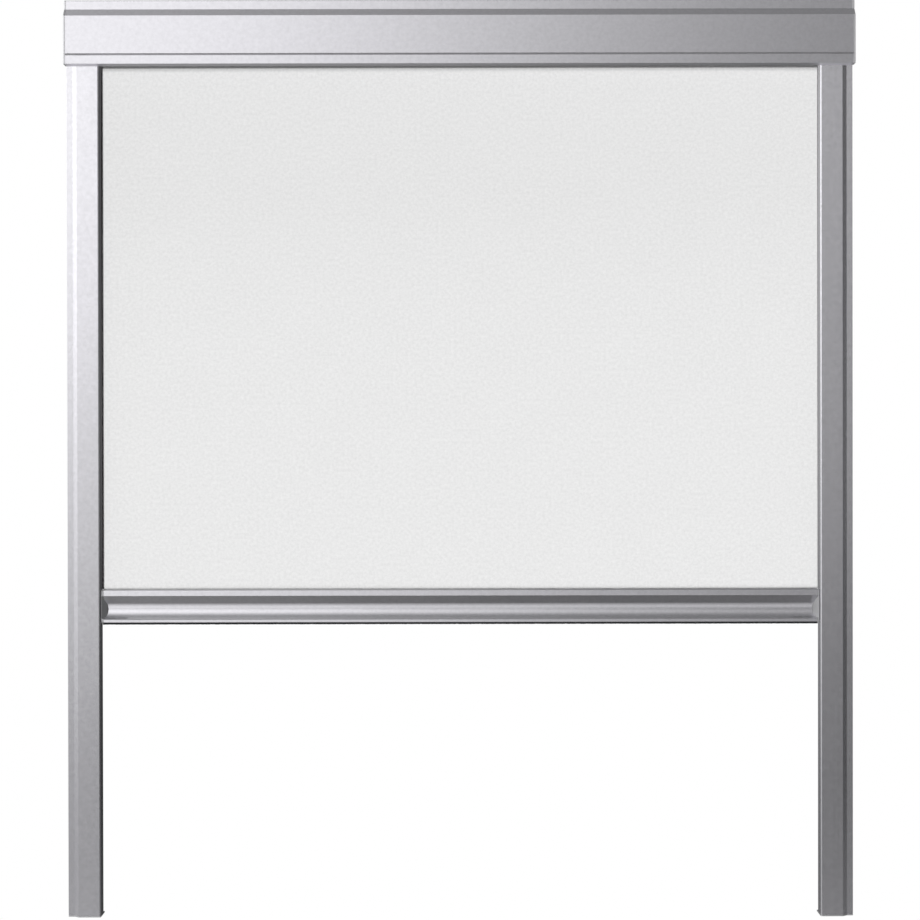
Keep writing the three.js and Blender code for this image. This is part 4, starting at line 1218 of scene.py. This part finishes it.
def make_floor():
    """A plain pale floor well under the blind."""
    bm = bmesh.new()
    bmesh.ops.create_circle(bm, cap_ends=True, radius=FLOOR_RADIUS, segments=FLOOR_SIDES)
    bmesh.ops.translate(bm, vec=(cad_low.z - FLOOR_CLEARANCE) * UP, verts=bm.verts)
    mesh = bpy.data.meshes.new("floor")
    bm.to_mesh(mesh)
    bm.free()
    material, tree, shader = new_finish("floor paint")
    set_inputs(tree, shader, {"Base Color": FLOOR_COLOUR, "Roughness": FLOOR_ROUGHNESS})
    mesh.materials.append(material)
    floor = bpy.data.objects.new("floor", mesh)
    floor.visible_glossy = False
    floor.visible_diffuse = False
    bpy.context.scene.collection.objects.link(floor)


def ramp(tree, value, stops):
    """A brightness along a value that runs from -1 to 1."""
    spread = add_node(tree, "ShaderNodeMapRange", {"Value": value, "From Min": -1, "From Max": 1})
    made = add_node(tree, "ShaderNodeValToRGB", {"Fac": spread.outputs["Result"]})
    made.color_ramp.interpolation = "LINEAR"
    elements = made.color_ramp.elements
    while len(elements) < len(stops):
        elements.new(0.5)
    for element, (position, level) in zip(elements, stops):
        element.position = (position + 1) / 2
        element.color = (level, level, level, 1)
    return made.outputs["Color"]


def wall_brightness(tree, direction):
    """Brightness of the studio's walls, ground and ceiling in a direction."""
    side = ramp(tree, direction["X"], SIDE_STOPS)
    height = ramp(tree, direction["Z"], HEIGHT_SHARES)
    spread = ramp(tree, direction["Z"], SPREAD_STOPS)
    depth = ramp(tree, direction["Y"], DEPTH_SHARES)
    inputs = {0: side, 1: height, 2: spread}
    total = add_node(tree, "ShaderNodeVectorMath", inputs, operation="MULTIPLY_ADD")
    inputs = {0: total.outputs["Vector"], 1: depth}
    return add_node(tree, "ShaderNodeVectorMath", inputs, operation="MULTIPLY").outputs["Vector"]


def white_share(tree, direction):
    """1 where the background is white: for the camera, and straight behind for glossy rays."""
    inputs = {"Value": direction["Y"], "From Min": WHITE_START, "From Max": WHITE_FULL}
    behind = add_node(tree, "ShaderNodeMapRange", inputs).outputs["Result"]
    path = add_node(tree, "ShaderNodeLightPath", {}).outputs
    glossy = combine(tree, "MAXIMUM", path["Is Glossy Ray"], path["Is Transmission Ray"])
    seen = combine(tree, "MULTIPLY", glossy, behind)
    return combine(tree, "MAXIMUM", path["Is Camera Ray"], seen)


def make_world():
    """A soft studio, bright on the left, before a white background."""
    world = bpy.data.worlds.new("studio")
    bpy.context.scene.world = world
    world.use_nodes = True
    world.cycles_visibility.diffuse = False
    tree = world.node_tree
    where = add_node(tree, "ShaderNodeTexCoord", {})
    parts = add_node(tree, "ShaderNodeSeparateXYZ", {"Vector": where.outputs["Generated"]})
    wall = wall_brightness(tree, parts.outputs)
    colour = mix(tree, white_share(tree, parts.outputs), wall, WHITE)
    set_inputs(tree, tree.nodes["Background"], {"Color": colour})


def make_lamps():
    """Distant lamps: an even light from the camera's side, one from above and one from behind."""
    for name, strength, angle, side, rise in LAMPS:
        data = bpy.data.lights.new(name, "SUN")
        data.energy = strength
        data.angle = math.radians(angle)
        lamp = bpy.data.objects.new(name, data)
        lamp.rotation_euler = (math.pi / 2 - math.radians(rise), 0, math.radians(side))
        lamp.visible_glossy = False
        bpy.context.scene.collection.objects.link(lamp)


bpy.context.scene.view_settings.view_transform = "Standard"
make_camera()
make_world()
make_lamps()
make_floor()
make_casing()
make_casing_ends()
make_rails()
make_rail_feet()
make_pile_strips()
make_fabric()
make_roll()
make_bar()
make_bar_ends()
make_bar_seal()
make_spring()
finish_kept_nodes()
